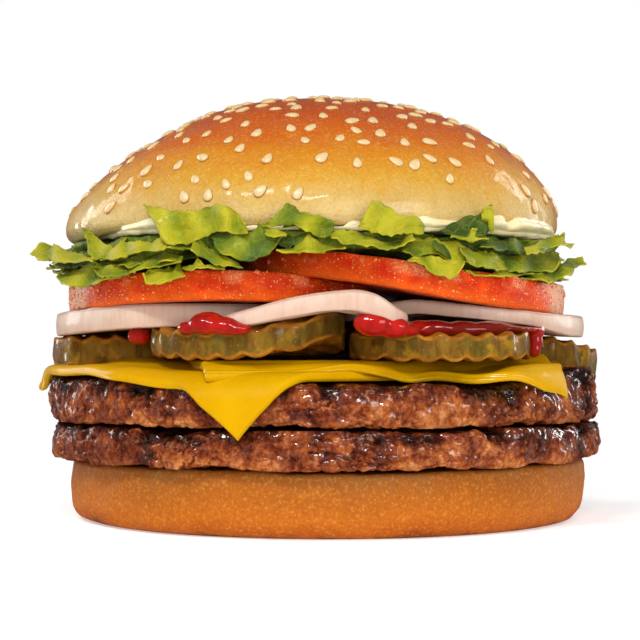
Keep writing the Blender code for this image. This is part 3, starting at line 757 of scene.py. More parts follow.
def make_cheese(node, corner, side, turn, rest, bend, steepest, finish, shape):
    """A square slice lying on the meat; what reaches past the rim bends down over it."""
    turn, steepest = math.radians(turn), math.radians(steepest)
    ahead = np.array([math.cos(turn), math.sin(turn)])
    aside = np.array([-math.sin(turn), math.cos(turn)])
    steps = cheese_steps(side) * side
    along, across = np.meshgrid(steps, steps, indexing="ij")
    border = np.minimum(np.minimum(along, side - along), np.minimum(across, side - across))
    rounding = np.sqrt(1.0 - (1.0 - np.clip(border / 0.8, 0.0, 1.0)) ** 2)
    lie, gloss, past, out, spot = shape(np.array(corner), ahead, aside, along, across)
    angle = np.minimum(past / bend, steepest)
    straight = past - bend * angle
    reach = bend * np.sin(angle) + straight * np.cos(angle) - past
    drop = bend * (1.0 - np.cos(angle)) + straight * np.sin(angle)
    level = np.concatenate([spot, spot[..., :1] * 0], -1)
    wave = 0.3 * rough(level, 13.0, 40, 2) * smooth(0.0, 6.0, past)
    sheets = []
    for lift in (0.5 + 0.5 * rounding, 0.5 - 0.5 * rounding):
        lift = lift * CHEESE_THICK + wave
        place = spot + out * (reach + lift * np.sin(angle))[..., None]
        height = rest + lie * np.cos(angle) - drop + lift * np.cos(angle)
        sheets.append(np.concatenate([place, height[..., None]], -1))
    points, faces = closed_sheet(*sheets)
    add_piece(node.replace("cheese", "cheese_slice"), points, faces, finish, [node],
              {"gloss": np.tile(gloss.ravel(), 2)})


LOWER_CORNER, LOWER_TURN = (-19.3, -68.8), 34.0


def lower_shape(corner, ahead, aside, along, across):
    """The lower slice: its left edge is stretched out to the rim of the meat, its corners hang."""
    bow = 7.6 * smooth(15.0, 33.0, across) * smooth(84.0, 54.0, across)
    spot = corner + (along - bow * smooth(34.0, 0.0, along))[..., None] * ahead + across[..., None] * aside
    x, reach = spot[..., 0], np.hypot(spot[..., 0], spot[..., 1])
    edge = np.hypot(bow - corner @ ahead, across + corner @ aside)
    hang = 2.0 + 2.6 * smooth(44.0, 14.0, across) + 4.4 * smooth(66.0, 84.0, across)
    held = 57.4 + (edge - hang - 57.4) * smooth(-24.0, -32.0, x)
    rise = LEFT_RISE * smooth(-26.0, -44.0, x)
    rise = rise + 1.8 * smooth(58.0, 48.0, reach) * smooth(-16.0, -32.0, x)
    rise = rise + 0.35 * noise(np.stack([x, spot[..., 1], x * 0], -1), 9.0, 41) * smooth(-10.0, -30.0, x)
    return rise, 0.15 * smooth(-24.0, -32.0, x), np.maximum(reach - held, 0.0), spot / reach[..., None], spot


def upper_shape(corner, ahead, aside, along, across):
    """The upper slice: it sags past the lower one's edge, folds lightly and hangs at its right."""
    start = corner + along[..., None] * ahead
    stretch = 6.8 * smooth(44.0, 60.0, along) - 2.8 * smooth(66.0, 74.0, along)
    across = across - stretch * smooth(30.0, 0.0, across)
    bulge = 2.6 * smooth(62.0, 73.0, along) * smooth(1.0, 9.0, across) * smooth(34.0, 16.0, across)
    spot = start + across[..., None] * aside + bulge[..., None] * ahead
    turn = math.radians(LOWER_TURN)
    outside = ((spot[..., 0] - LOWER_CORNER[0]) * math.sin(turn)
               - (spot[..., 1] - LOWER_CORNER[1]) * math.cos(turn))
    sag = -2.0 * smooth(-1.0, 4.5, outside)
    waves = 0.40 * np.sin(along * 0.42 + 0.8) * smooth(16.0, 2.0, across)
    waves = waves * smooth(34.0, 44.0, along) * smooth(68.0, 60.0, along)
    lip = -1.9 * smooth(4.6, 0.6, across) * smooth(60.0, 48.0, along) * (0.25 + 0.75 * smooth(30.0, 17.0, along))
    folds = 0.32 * np.cos(TURN * across / 2.3) * smooth(5.5, 3.0, across) * smooth(38.0, 22.0, along)
    lift = 1.3 * smooth(56.0, 68.0, along)
    held = 59.8 + 6.0 * smooth(48.0, 30.0, along)
    inward = start @ aside
    rim = -inward - np.sqrt(np.maximum(inward ** 2 - (start ** 2).sum(-1) + held ** 2, 0.0))
    return (sag + waves + lip + folds + lift, smooth(7.0, 3.0, across) * smooth(70.0, 60.0, along),
            np.maximum(rim - across, 0.0), -aside, spot)


def closed_sheet(upper, lower):
    """Points and faces of a thin closed body from two matching grids."""
    rows, columns, _ = upper.shape
    points = np.concatenate([upper.reshape(-1, 3), lower.reshape(-1, 3)])
    index = np.arange(rows * columns).reshape(rows, columns)
    face = np.stack([index[:-1, :-1], index[1:, :-1], index[1:, 1:], index[:-1, 1:]], -1).reshape(-1, 4)
    rim = np.concatenate([index[:, 0], index[-1, 1:], index[-2::-1, -1], index[0, -2:0:-1]])
    ahead = np.roll(rim, -1)
    below = rows * columns
    edge = np.stack([ahead, rim, rim + below, ahead + below], -1)
    return points, [face, face[:, ::-1] + below, edge]


# ---------------------------------------------------------------- pickles and sauces

PICKLE_TURNS = {"pickle_back_left": 8, "pickle_front_left": -30, "pickle_front_right": 14,
                "pickle_right": 20, "pickle_rear_right": 60, "pickle_rear": -15,
                "pickle_rear_left": 35}
PICKLE_PERIOD = 4.8
PICKLE_WAVE = 0.42
PICKLE_FLUTE = 0.20        # how far the ridges stand out of the rind
PICKLE_SINK = {"pickle_back_left": 2.0, "pickle_right": 1.8}    # how far the soft lower face settles into the cheese
PICKLE_SLOPE = {"pickle_front_left": 0.09, "pickle_front_right": 0.06, "pickle_back_left": 0.10}


def make_pickle(node, ridge_turn, finish, seed):
    """A crinkle-cut slice: straight ridges cross both faces, soft rind round the rim."""
    survey = Survey(node, 240, blur=9.0, margin=1.4)
    profile = slice_profile(0.55, 17, 5, 9)
    grid = survey.grid(profile, bulge=0.20)
    grid[..., 2] -= PICKLE_SINK.get(node, 0.7) * (1.0 - profile[:, 2:3])
    turn = math.radians(ridge_turn)
    across = ((grid[..., 0] - survey.middle[0]) * math.cos(turn)
              + (grid[..., 1] - survey.middle[1]) * math.sin(turn))
    across = across + 0.6 * noise(grid, 14.0, seed)
    phase = TURN * across / PICKLE_PERIOD
    grid[..., 2] += PICKLE_WAVE * (np.cos(phase) + 0.18 * np.cos(2 * phase))
    outward = (grid - survey.middle) * np.array([1.0, 1.0, 0.0])
    outward /= np.linalg.norm(outward, axis=-1, keepdims=True)
    on_wall = profile[:, :1] > 0.999
    grid += outward * (PICKLE_FLUTE * np.cos(phase) * on_wall)[..., None]
    front = grid[..., 1].min()
    grid[..., 2] += PICKLE_SLOPE.get(node, 0.0) * np.clip(grid[..., 1] - front, 0.0, 14.0)
    relief = 0.20 * rough(grid, 3.0, seed + 3)
    grid += ring_normals(grid) * relief[..., None]
    wall = smooth(0.0, 0.12, profile[:, 2:3]) * smooth(1.0, 0.90, profile[:, 2:3]) * on_wall
    points, faces = closed_rings(grid)
    add_piece(node.replace("pickle", "pickle_chip"), points, faces, finish, [node],
              {"wall": with_poles(wall + survey.outline[None] * 0)})


def blob_body(blobs, voxel, smoothing):
    """One closed skin round many overlapping balls of (centre, radii)."""
    ball, faces = closed_rings(pebble(10, 16))
    points = np.concatenate([ball * np.array(radii) + np.array(centre) for centre, radii in blobs])
    mesh = bpy.data.meshes.new("blobs")
    corners = [list(row + n * len(ball)) for n in range(len(blobs)) for part in faces for row in part]
    mesh.from_pydata(points.tolist(), [], corners)
    holder = bpy.data.objects.new("blobs", mesh)
    bpy.context.scene.collection.objects.link(holder)
    remesh = holder.modifiers.new("skin", "REMESH")
    remesh.mode = "VOXEL"
    remesh.voxel_size = voxel
    soften = holder.modifiers.new("soften", "SMOOTH")
    soften.iterations = smoothing
    soften.factor = 0.6
    skin = holder.evaluated_get(bpy.context.evaluated_depsgraph_get()).to_mesh()
    points = np.empty(len(skin.vertices) * 3)
    skin.vertices.foreach_get("co", points)
    faces = [np.array([p.vertices for p in skin.polygons if len(p.vertices) == size])
             for size in (3, 4)]
    bpy.data.objects.remove(holder)
    return points.reshape(-1, 3), [part for part in faces if len(part)]


# Middle and radii of each lump of sauce that shows at the front.
KETCHUP_LUMPS = [
    ((-23.6, -55.6, 42.3), (3.6, 3.2, 2.3)),
    ((-19.8, -57.0, 41.8), (3.8, 2.8, 1.8)),
    ((-17.2, -57.8, 41.3), (2.8, 2.2, 1.2)),
    ((-27.0, -53.8, 41.4), (2.8, 2.6, 1.4)),
    ((-38.6, -37.6, 40.0), (2.7, 2.3, 1.9)),
    ((8.6, -57.0, 42.3), (3.9, 2.6, 2.6)),
    ((12.6, -55.8, 41.5), (3.6, 2.6, 2.2)),
    ((15.8, -54.0, 41.0), (2.6, 2.4, 1.4)),
    ((42.6, -38.2, 41.2), (2.0, 1.8, 1.7)),
    ((42.3, -38.8, 39.0), (1.7, 1.5, 2.2)),
    ((42.0, -39.0, 37.0), (1.5, 1.4, 1.6)),
]
KETCHUP_ARMS = ((-52, 49, 10), (28, 34, 9), (85, 48, 8), (116, 48, 8), (0, 22, 14), (180, 16, 14))
KETCHUP_RING = (23.2, -36.2, 14.0)         # x, y and reach of the sauce on the front right pickle


def make_ketchup():
    """Sauce pressed out between the pickles and the onions, thick where it reaches the front."""
    rng = np.random.default_rng(5)
    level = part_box("ketchup")[1][2] / MM - 0.5
    blobs = list(KETCHUP_LUMPS)
    for angle, reach, width in KETCHUP_ARMS:
        for share in np.linspace(0.1, 1.0, 9):
            away = math.radians(angle)
            x, y = 4.0 + reach * share * math.cos(away), reach * share * math.sin(away)
            blobs.append(((x, y, level - 2.4 * smooth(22.0, 50.0, y)), (width, width, 1.05)))
    for turn in np.arange(-125.0, -4.0, 4.0):
        x = KETCHUP_RING[0] + KETCHUP_RING[2] * math.cos(math.radians(turn))
        y = KETCHUP_RING[1] + KETCHUP_RING[2] * math.sin(math.radians(turn))
        blobs.append(((x, y, level - 0.2 + rng.uniform(-0.1, 0.1)), (3.1, 3.1, rng.uniform(1.4, 2.0))))
    points, faces = blob_body(blobs, 0.45, 6)
    points += 0.20 * np.stack([rough(points, 4.5, n) for n in (1, 5, 9)], -1)
    add_piece("ketchup_sauce", points, faces, ketchup_finish(),
              ["ketchup", "ketchup_left", "ketchup_middle", "ketchup_drip"])


def make_mayonnaise():
    """A spread under the crown that swells past its edge in soft lobes."""
    survey = Survey("mayonnaise", 420, blur=3.0)
    profile = slice_profile(0.9, 9, 9, 11)
    grid = survey.grid(profile)
    rim = np.stack([np.cos(survey.angles), np.sin(survey.angles), survey.angles * 0], -1) * 55.0
    lobes = smooth(-0.45, 0.55, noise(rim, 9.0, 91) + 0.45 * noise(rim, 4.0, 95))[None]
    lobes = np.clip(lobes + 0.55 * smooth(12.0, 26.0, rim[:, 0])[None], 0.0, 1.0)
    lobes = lobes * (smooth(56.0, 46.0, rim[:, 0]) * smooth(-52.0, -22.0, rim[:, 0]))[None]
    grid[..., :2] *= 1.0 - 0.06 * smooth(-40.0, -50.0, grid[..., :1])
    edge = smooth(0.90, 1.0, profile[:, :1] * (1 - profile[:, 1:2] / 40.0))
    level = profile[:, 2:3]
    grid[..., 2] += edge * level * lobes * 3.2
    out = np.sin(math.pi * np.clip(level, 0.0, 1.0)) * 0.7 + 0.6 * level
    grid[..., :2] += (rim[None, :, :2] / 55.0) * (edge * out * (lobes * 2.9 - 1.2))[..., None]
    relief = 0.30 * rough(grid, 3.0, 93)
    grid += ring_normals(grid) * (relief * edge)[..., None]
    points, faces = closed_rings(grid)
    add_piece("mayonnaise_spread", points, faces, mayonnaise_finish(), ["mayonnaise"])


# ---------------------------------------------------------------- onions and tomatoes

SLICE_SETTLE = 0.45        # how far a soft slice settles on to what it lies on


def make_slice(node, name, finish, edge, bulge, seed, relief):
    """A cut slice with an eased rim; returns the part of its grid that forms the wall."""
    survey = Survey(node, 300)
    profile = slice_profile(edge, 8, 6, 11)
    grid = survey.grid(profile, bulge)
    grid += ring_normals(grid) * (relief * rough(grid, 8.0, seed) + 0.25 * relief * rough(
        grid, 2.0, seed + 4))[..., None]
    grid[..., 2] -= SLICE_SETTLE * (1.0 - profile[:, 2:3])
    if node == "onion_right":
        grid[..., 2] += 1.2 * smooth(52.0, 40.0, grid[..., 0]) * (1.0 - profile[:, 2:3])
    if node == "tomato_right":
        grid[..., 0] -= 1.8 * smooth(34.0, 52.0, grid[..., 0])
    if node == "tomato_left":
        grid[..., 0] += 0.9 * smooth(-42.0, -56.0, grid[..., 0])
    if node == "onion_middle":
        tail = smooth(-9.0, -16.0, grid[..., 0])
        grid[..., 2] -= 1.3 * tail
        grid[..., 0] -= 5.0 * tail + 2.8 * smooth(9.0, 18.0, grid[..., 0])
    points, faces = closed_rings(grid)
    wall = smooth(0.93, 0.995, profile[:, :1] * (1 - profile[:, 1:2] / 30.0)) + survey.outline * 0
    low = profile[:, 2:3] + survey.outline * 0
    # end: where the wall ends face the side lamps; it drives a painted highlight on the tomatoes
    end = smooth(46.5, 50.0, np.abs(grid[..., 0] + 2.0) - 7.0 * smooth(-22.0, 0.0, grid[..., 1]))
    marks = {"wall": wall, "low": low, "end": end * wall}
    add_piece(name, points, faces, finish, [node],
              {label: with_poles(values) for label, values in marks.items()})
    return grid[9:26]


def make_drops(walls):
    """Water beads on the tomato walls, from specks to beads a millimetre across."""
    rng = np.random.default_rng(3)
    dome, faces = closed_rings(pebble(3, 6))
    places, normals, sizes = [], [], []
    for wall, count in walls:
        upright = ring_normals(wall).reshape(-1, 3)
        picks = rng.choice(len(upright), count)
        places.append(wall.reshape(-1, 3)[picks])
        normals.append(upright[picks])
        sizes.append(np.exp(rng.normal(math.log(0.155), 0.45, count)))
    places, normals = np.concatenate(places), np.concatenate(normals)
    sizes = np.clip(np.concatenate(sizes), 0.10, 0.60)
    shape = np.stack([sizes, sizes, sizes * 0.7], -1)
    points, all_faces = scattered(dome, faces, places + normals * 0.05, normals,
                                  rng.uniform(0, TURN, len(sizes)), shape)
    add_piece("water_drops", points, all_faces, water_finish())


# ---------------------------------------------------------------- lettuce

HEAP_MIDDLE = (-4.0, -1.0)
LEAF_THICK = 0.28
LEAF_LEAN = 1.8            # how much further in a leaf's upper edge lies under the crown

# The torn leaves at the front: how far out the upper and the lower edge stand, how dark the
# leaf is (a few of the darkest fill hollows as dark sheets of painted shade), and both edges from left to right as (x,
# z).
LEAVES = [
    # far left: a ruffled tip, a dark strip under it, a drooping leaf and a narrow stalk
    (60, 62, 0.10, [(-65, 58), (-62.5, 60.5), (-59, 60), (-53.5, 57.5), (-51, 57), (-47.5, 55.5)],
     [(-65, 58), (-61.5, 56.5), (-57, 55.5), (-52, 55), (-47, 55)]),
    (58, 60, 0.85, [(-61, 55.5), (-55, 56), (-47.5, 56)], [(-60, 55), (-51.5, 54), (-47, 54)]),
    (59, 61, 0.28, [(-58, 53), (-57, 54), (-52, 54), (-47, 55), (-40, 54), (-34.5, 55.5), (-28.5, 55.5)],
     [(-57, 52.5), (-55, 51), (-51, 50), (-48.5, 50), (-43, 51.5), (-38, 52.5), (-28.5, 54)]),
    (60, 62, 0.50, [(-47.5, 53.5), (-45, 54), (-40, 53.5)], [(-47, 53), (-44.5, 51.5), (-39.5, 52)]),
    (57, 58, 0.50, [(-51.5, 62.5), (-50, 62), (-47.5, 60), (-44.5, 58), (-42, 56.5)],
     [(-51, 62.5), (-50, 59.5), (-49, 57.5), (-47.5, 55.5), (-42, 55)]),
    # left: a bright arc over ruffled layers
    (59, 60, 0.06, [(-46, 56), (-45, 57), (-42, 59), (-38.5, 58.5), (-35, 58.5), (-33, 59.5), (-32, 57.5)],
     [(-46, 55.5), (-43.5, 55), (-40, 55.5), (-36.5, 56.5), (-33.5, 56.5), (-31.5, 57.5)]),
    (57, 60, 0.62, [(-44.5, 54.5), (-40.5, 55.5), (-37, 56.5), (-36.5, 55.5), (-32, 56.5), (-28.5, 55.5)],
     [(-44, 54), (-38.5, 53.5), (-34.5, 54), (-31, 54.5), (-28.5, 54.5)]),
    (58, 60, 0.40, [(-33, 57.5), (-30.5, 58.5), (-28, 58), (-26.5, 57)],
     [(-33, 56.5), (-31, 57), (-28.5, 56.5), (-26, 56.5)]),
    # a long pointed leaf, a dark sheet of painted shade in the hollow beside it and a round dark lobe with a curled
    # lip
    (57, 59, 0.20, [(-37, 66), (-32, 65), (-27.5, 64.5), (-24, 64.5), (-22, 65.5), (-20, 65.5),
                    (-18, 64.5), (-16.5, 62.5), (-15.5, 60.5)],
     [(-36.5, 66), (-34.5, 63), (-33, 59.5), (-31, 57.5), (-27.5, 57.5), (-25.5, 58.5), (-21, 60),
      (-15.5, 60)]),
    (56, 57, 0.95, [(-26, 60), (-24.5, 61), (-22.5, 60.5), (-22, 58.5)],
     [(-26, 60), (-25.5, 57.5), (-23, 55.5), (-20.5, 55.5)]),
    (58, 59, 0.58, [(-23, 59), (-21.5, 60.5), (-18, 61), (-15, 60), (-13.5, 60.5), (-13, 62), (-12, 61),
                    (-8.5, 59.5)],
     [(-22.5, 59), (-22, 57.5), (-20, 55.5), (-17.5, 54.5), (-15, 54), (-12, 55), (-10.5, 57),
      (-8.5, 59)]),
    (60, 60, 0.25, [(-12, 60.5), (-10.5, 60.5), (-8, 59)], [(-12, 59.5), (-10.5, 58.5), (-8, 59)]),
    (60, 61, 0.42, [(-26, 59.5), (-24.5, 58), (-22.5, 56.5), (-20.5, 55.5), (-18.5, 54.5), (-16.5, 53)],
     [(-26.5, 56.5), (-24, 54.5), (-21, 53.5), (-19, 53), (-16.5, 53)]),
    (60, 62, 0.12, [(-36, 52), (-34.5, 53), (-30, 53.5), (-29.5, 54.5), (-28.5, 53), (-28, 51.5)],
     [(-36, 52), (-35.5, 50), (-33.5, 50), (-30, 50.5), (-27.5, 51.5)]),
    (60, 60, 0.12, [(-28.5, 53.5), (-26.5, 53.5), (-25.5, 54.5), (-24, 53.5), (-20, 53.5)],
     [(-28.5, 53), (-26.5, 52.5), (-24, 53), (-20, 52.5)]),
    # middle: a peaked leaf round a hollow that a dark sheet of painted shade fills, a small bright one and a light
    # ledge
    (57, 58, 0.45, [(-12.5, 61), (-10, 63.5), (-8, 65.5), (-6, 64.5), (-1.5, 63), (1.5, 62)],
     [(-12.5, 61), (-9.5, 61), (-6.5, 61), (-4, 60), (-1, 58.5), (0.5, 59)]),
    (55, 56, 1.00, [(-10.5, 61), (-8, 61.5), (-4.5, 61), (-2, 59.5)],
     [(-10.5, 58), (-8, 57), (-5, 58), (-2, 58.5)]),
    (58, 60, 0.14, [(-10, 56.5), (-6.5, 57), (-4, 59.5), (-2, 58), (0.5, 57.5), (3.5, 57)],
     [(-10, 56.5), (-7.5, 56), (-1.5, 56), (1, 56.5), (3.5, 56.5)]),
    (59, 61, 0.24, [(0.5, 59), (1.5, 60.5), (5.5, 60), (7.5, 59.5), (10.5, 58), (14, 58), (15.5, 60),
                    (16.5, 60)],
     [(0.5, 58.5), (3, 57.5), (7, 57), (11.5, 56.5), (14, 57), (16.5, 58.5)]),
    # an upright bright ruffle and the shade under it
    (58, 60, 0.06, [(6, 61), (7.5, 64.5), (8.5, 66), (10.5, 65.5), (12, 64.5), (13.5, 63.5), (15.5, 63),
                    (18, 63), (19, 61.5)],
     [(6, 60.5), (8.5, 59.5), (12.5, 59), (15.5, 59.5), (18.5, 59.5)]),
    (56, 57, 0.95, [(7, 60), (10, 59.5), (14, 59), (16, 59.5)], [(7, 59.5), (9.5, 58), (13, 58), (16, 58.5)]),
    # right: a dark leaf with a light curled tip, torn twigs, a pale stalk and streaked leaves
    (57, 59, 0.88, [(22, 60.5), (25, 62.5), (27.5, 63.5), (30, 64), (31.5, 65.5), (33, 66)],
     [(22, 60.5), (24.5, 60), (28.5, 59.5), (31, 60), (32.5, 61), (33, 61.5)]),
    (60, 60, 0.20, [(30.5, 64), (31.5, 65.5), (32.5, 66), (33, 65)],
     [(30.5, 63), (32, 62.5), (32.5, 61), (33, 60)]),
    (59, 60, 0.35, [(24.5, 60), (28, 60), (28.5, 61), (29.5, 61), (29.5, 60), (32, 59.5)],
     [(24, 59.5), (27.5, 58.5), (29.5, 59), (32, 59)]),
    (57, 59, 0.26, [(14.5, 57), (17, 59), (21, 59), (24.5, 58.5), (29, 57.5)],
     [(14.5, 56.5), (17, 55.5), (20.5, 56), (24.5, 54.5), (28.5, 54)]),
    (59, 60, 0.90, [(20.5, 58.5), (23, 58), (26, 56.5), (26.5, 55)],
     [(20.5, 57), (22, 56), (24.5, 54.5), (26.5, 54.5)]),
    (59, 61, 0.38, [(26, 57.5), (29.5, 57), (33, 57), (34.5, 55.5), (36.5, 54)],
     [(26, 57), (27, 55.5), (28.5, 53.5), (32.5, 53), (36, 53)]),
    (61, 62, 0.08, [(15.5, 54.5), (18.5, 55.5), (20.5, 55.5), (23, 54.5), (26.5, 54.5)],
     [(15.5, 54.5), (19, 53.5), (20, 52), (24, 51), (25.5, 52.5), (26.5, 54)]),
    # far right: dark and light layers that end in torn tips
    (57, 59, 0.80, [(30.5, 58), (34, 59.5), (37.5, 60), (41, 59), (45, 60)],
     [(30, 57.5), (35, 57), (39.5, 56.5), (44.5, 57.5)]),
    (60, 61, 0.25, [(40, 58), (45, 60), (46.5, 61), (50, 62), (50.5, 60), (53, 60)],
     [(40, 56.5), (45, 57.5), (48.5, 58.5), (50.5, 58.5), (52, 59.5)]),
    (58, 60, 0.45, [(33, 56), (37, 56), (42.5, 57), (49.5, 58)],
     [(32.5, 54), (36.5, 53), (42.5, 53), (46, 53), (48.5, 55.5)]),
    (60, 61, 0.18, [(27, 53), (32.5, 52.5), (37.5, 53), (42, 53)],
     [(27, 52.5), (31, 51.5), (35, 51.5), (42, 52.5)]),
    (60, 62, 0.36, [(39.5, 51.5), (45.5, 53.5), (49.5, 55.5), (51.5, 57), (55.5, 57.5)],
     [(39, 51.5), (42, 51), (45, 50.5), (49.5, 52.5), (52.5, 54.5), (56, 55.5)]),
]
SIDE_SQUASH = 0.62         # leaves at the sides and the back stand less tall
LEAF_FOOT = 50.5           # the level that they keep when they are squashed


def edge_curve(points, count):
    """Evenly spaced points along the line through the given ones."""
    points = np.array(points, float)
    run = np.concatenate([[0.0], np.cumsum(np.hypot(*np.diff(points, axis=0).T))])
    return np.stack([np.interp(np.linspace(0.0, run[-1], count), run, column)
                     for column in points.T], -1)


def leaf_sheet(rng, leaf, rows, columns, squash=1.0, draw_in=0.0):
    """A thin leaf between its two edges, folded, puckered and torn. Returns points and marks."""
    out_high, out_low, tone, upper, lower = leaf
    high, low = edge_curve(upper, columns)[None], edge_curve(lower, columns)[None]
    share = np.linspace(0.0, 1.0, rows)[:, None]
    x = low[..., 0] * (1 - share) + high[..., 0] * share
    z = low[..., 1] * (1 - share) + high[..., 1] * share
    z = LEAF_FOOT + (z - LEAF_FOOT) * squash
    spot = np.stack([x, z, x * 0 + rng.uniform(0.0, 90.0)], -1)
    free = np.abs(2.0 * share - 1.0) ** 3
    z = z + free * (0.50 * noise(spot, 1.7, 61) + 0.30 * noise(spot, 0.75, 62))
    x = x + free * 0.45 * noise(spot, 1.3, 63)
    lean = rng.uniform(-0.5, 0.5)
    folds = np.sin(TURN * (x + lean * z) / rng.uniform(6.0, 10.0) + 3.0 * noise(spot, 7.0, 64))
    out = out_low + (out_high - out_low - LEAF_LEAN * smooth(62.0, 60.5, z)) * share - draw_in
    out = out + (0.60 + 0.5 * free) * folds + 0.60 * noise(spot, 3.4, 65) + 0.16 * noise(spot, 1.1, 66)
    out = out + free * 0.8 * noise(spot, 4.0, 67)
    off = x - HEAP_MIDDLE[0]
    y = HEAP_MIDDLE[1] - np.sqrt(np.maximum(out ** 2 - off ** 2, 14.0 ** 2))
    # painted shade: the tone darkens where the folds turn inward; the rim mark drives painted light at the torn edges
    marks = {"tone": tone + 0.24 * noise(spot, 5.0, 68) - 0.17 * folds, "along": share * 0 + x / 12.0,
             "across": 2.0 * share - 1.0 + 0.0 * x, "rim": smooth(0.72, 1.0, free ** 0.33) + 0.0 * x}
    return np.stack([x, y, z], -1), marks


def turned(grid, turn):
    """The leaf carried round the middle of the heap."""
    away = grid - np.array([*HEAP_MIDDLE, 0.0])
    cos, sin = math.cos(math.radians(turn)), math.sin(math.radians(turn))
    return np.stack([HEAP_MIDDLE[0] + away[..., 0] * cos - away[..., 1] * sin,
                     HEAP_MIDDLE[1] + away[..., 0] * sin + away[..., 1] * cos, grid[..., 2]], -1)


def add_leaves(name, leaves, finish, replaced):
    """One mesh of many thin closed leaves."""
    points, faces, marks = [], [], {}
    start = 0
    for grid, values in leaves:
        normal = np.cross(np.gradient(grid, axis=1), np.gradient(grid, axis=0))
        normal /= np.maximum(np.linalg.norm(normal, axis=-1, keepdims=True), 1e-9)
        shift = normal * 0.5 * LEAF_THICK
        sheet, sheet_faces = closed_sheet(grid - shift, grid + shift)
        points.append(sheet)
        faces += [part + start for part in sheet_faces]
        start += len(sheet)
        for key, value in values.items():
            marks.setdefault(key, []).extend([value.ravel()] * 2)
    marks = {key: np.concatenate(value) for key, value in marks.items()}
    add_piece(name, np.concatenate(points), faces, finish, replaced, marks)


def make_lettuce():
    """Torn leaves all round the heap, laid out at the front and looser behind, over a core."""
    rng = np.random.default_rng(77)
    finish = leaf_finish("lettuce_leaf", (0.50, 0.50, 0.08))
    add_leaves("lettuce_front", [leaf_sheet(rng, leaf, 14, 52) for leaf in LEAVES], finish, ["lettuce"])
    behind = []
    for leaf in LEAVES:
        grid, marks = leaf_sheet(rng, leaf, 9, 36, squash=0.9, draw_in=1.0)
        mirrored = grid * np.array([1.0, -1.0, 1.0]) + np.array([0.0, 2.0 * HEAP_MIDDLE[1], 0.0])
        behind.append((turned(mirrored[:, ::-1], rng.uniform(-5.0, 5.0)),
                       {key: value[:, ::-1] for key, value in marks.items()}))
        if abs(leaf[3][0][0] + 4.0) < 36.0 and leaf[2] < 0.9:
            for turn in (90.0, -90.0):
                grid, marks = leaf_sheet(rng, leaf, 9, 36, SIDE_SQUASH, 3.0 + rng.uniform(-1.0, 1.0))
                behind.append((turned(grid, turn + rng.uniform(-8.0, 8.0)), marks))
    add_leaves("lettuce_loose", behind, finish, [])
    make_lettuce_core(finish)


def make_lettuce_core(finish):
    """Crumpled leaf deep in the heap, which closes the gaps between the loose leaves; it is toned dark as painted
    shade.
    """
    survey = Survey("lettuce", 260, blur=3.0)
    survey.outline = survey.outline - 8.0
    profile = slice_profile(1.4, 7, 6, 13)
    grid = survey.grid(profile)
    edge = smooth(0.6, 1.0, profile[:, :1])
    folds = rough(grid * np.array([0.5, 0.5, 2.2]), 4.0, 31) * 1.6
    grid += ring_normals(grid) * (folds * edge)[..., None]
    grid[..., 2] = np.minimum(grid[..., 2], 60.2)
    points, faces = closed_rings(grid)
    # painted shade: the core is toned darker than most leaves, for the shaded inside of the heap
    tone = with_poles(0.72 + 0.22 * noise(grid, 5.0, 33))
    add_piece("lettuce_core", points, faces, finish, [],
              {"tone": tone, "along": tone, "across": tone, "rim": tone * 0.0})


# ---------------------------------------------------------------- studio

FLOOR_FADE = (0.10, 0.26)  # the floor thins out between these distances from the middle, in metres


def make_floor():
    """A pale floor that melts into the pale surroundings."""
    floor = Finish("studio_floor")
    across = floor.add("ShaderNodeVectorMath", {"operation": "LENGTH"}, {0: floor.place()},
                       output="Value")
    tint = floor.mix(floor.grain(60.0), (0.86, 0.86, 0.86), (0.90, 0.90, 0.90))
    floor.surface(base_color=tint, roughness=0.9, specular_ior_level=0.0,
                  emission_color=(1.0, 1.0, 1.0), emission_strength=0.40,
                  alpha=across.between(FLOOR_FADE[1], FLOOR_FADE[0]))
    mesh = bpy.data.meshes.new("floor")
    reach = 3.0
    mesh.from_pydata([(-reach, -reach, 0), (reach, -reach, 0), (reach, reach, 0), (-reach, reach, 0)],
                     [], [(0, 1, 2, 3)])
    mesh.materials.append(floor.material)
    plane = bpy.data.objects.new("floor", mesh)
    bpy.context.scene.collection.objects.link(plane)
    plane.visible_glossy = False


def add_light(name, place, aim, size, power, mirrored=True):
    data = bpy.data.lights.new(name, "AREA")
    data.shape = "RECTANGLE"
    data.size, data.size_y = size[0] * MM, size[1] * MM
    data.energy = power
    light = bpy.data.objects.new(name, data)
    light.visible_glossy = mirrored
    light.location = Vector(place) * MM
    light.rotation_euler = (Vector(aim) - Vector(place)).to_track_quat("-Z", "Y").to_euler()
    bpy.context.scene.collection.objects.link(light)


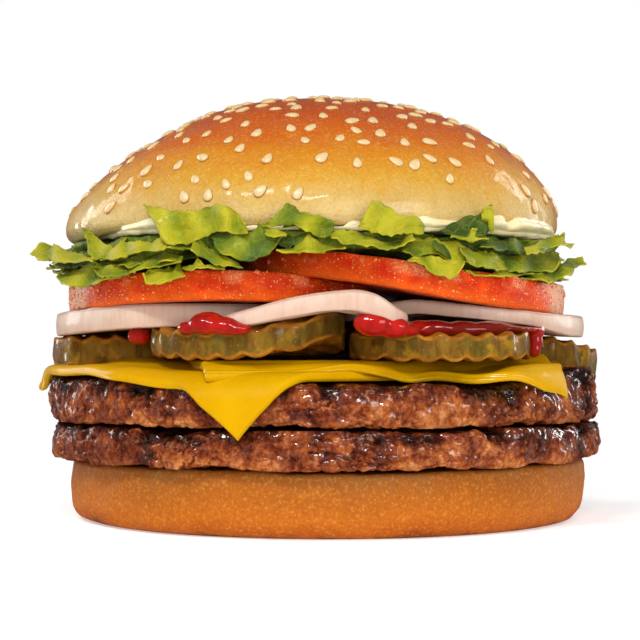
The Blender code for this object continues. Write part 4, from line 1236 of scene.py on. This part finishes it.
def make_lights():
    world = bpy.data.worlds.new("studio")
    world.use_nodes = True
    sky = world.node_tree.nodes["Background"]
    sky.inputs["Color"].default_value = (1.0, 1.0, 1.0, 1.0)
    rays = world.node_tree.nodes.new("ShaderNodeLightPath")
    strength = world.node_tree.nodes.new("ShaderNodeMapRange")
    world.node_tree.links.new(rays.outputs["Is Camera Ray"], strength.inputs["Value"])
    strength.inputs["To Min"].default_value = 0.20
    strength.inputs["To Max"].default_value = 1.0
    world.node_tree.links.new(strength.outputs[0], sky.inputs["Strength"])
    bpy.context.scene.world = world
    middle = (0, 0, 50)
    add_light("key", (-340, -640, 720), middle, (300, 150), 4.1)
    add_light("glint", (20, -640, 500), middle, (170, 40), 1.15)
    add_light("fill", (560, -640, 240), middle, (400, 320), 1.5)
    add_light("front", (40, -780, 90), middle, (560, 300), 2.55, mirrored=False)
    add_light("rim_left", (-560, 330, 260), middle, (160, 520), 2.1)
    add_light("rim_right", (560, 330, 260), middle, (160, 520), 2.1)


def make_camera():
    data = bpy.data.cameras.new("camera")
    data.lens = CAMERA_LENS
    camera = bpy.data.objects.new("camera", data)
    camera.location = Vector(CAMERA_PLACE) * MM
    camera.rotation_euler = (math.radians(90 + CAMERA_UP), 0.0, math.radians(CAMERA_LEFT))
    bpy.context.scene.collection.objects.link(camera)
    bpy.context.scene.camera = camera


# ---------------------------------------------------------------- the burger

make_camera()
make_lights()
make_floor()
scene = bpy.context.scene
scene.view_settings.view_transform = "Standard"
scene.cycles.use_denoising = True

make_heel()
beef = meat_finish()
make_patty("lower_patty", 200, beef, 0.0)
make_patty("upper_patty", 300, beef, 1.0)
melted = cheese_finish()
make_cheese("cheese_lower", LOWER_CORNER, 82.6, LOWER_TURN, 30.9, 4.8, 86.0, melted, lower_shape)
make_cheese("cheese_upper", (-23.7, -59.2), 73.6, 13.5, 33.0, 5.4, 80.0, melted, upper_shape)
brined = pickle_finish()
for seed, (node, turn) in enumerate(PICKLE_TURNS.items()):
    make_pickle(node, turn, brined, 500 + 10 * seed)
make_ketchup()
flesh = onion_finish()
for seed, place in enumerate(("left", "right", "middle", "rear_left", "rear_right")):
    make_slice("onion_" + place, "onion_slice_" + place, flesh, 0.4, 0.2, 600 + seed, 0.12)
skin = tomato_finish()
walls = []
for seed, (place, count) in enumerate((("left", 850), ("right", 650), ("rear_left", 350),
                                       ("rear_right", 350))):
    walls.append((make_slice("tomato_" + place, "tomato_slice_" + place, skin, 0.7, 0.2,
                             700 + seed, 0.16), count))
make_drops(walls)
make_lettuce()
make_mayonnaise()
make_crown()
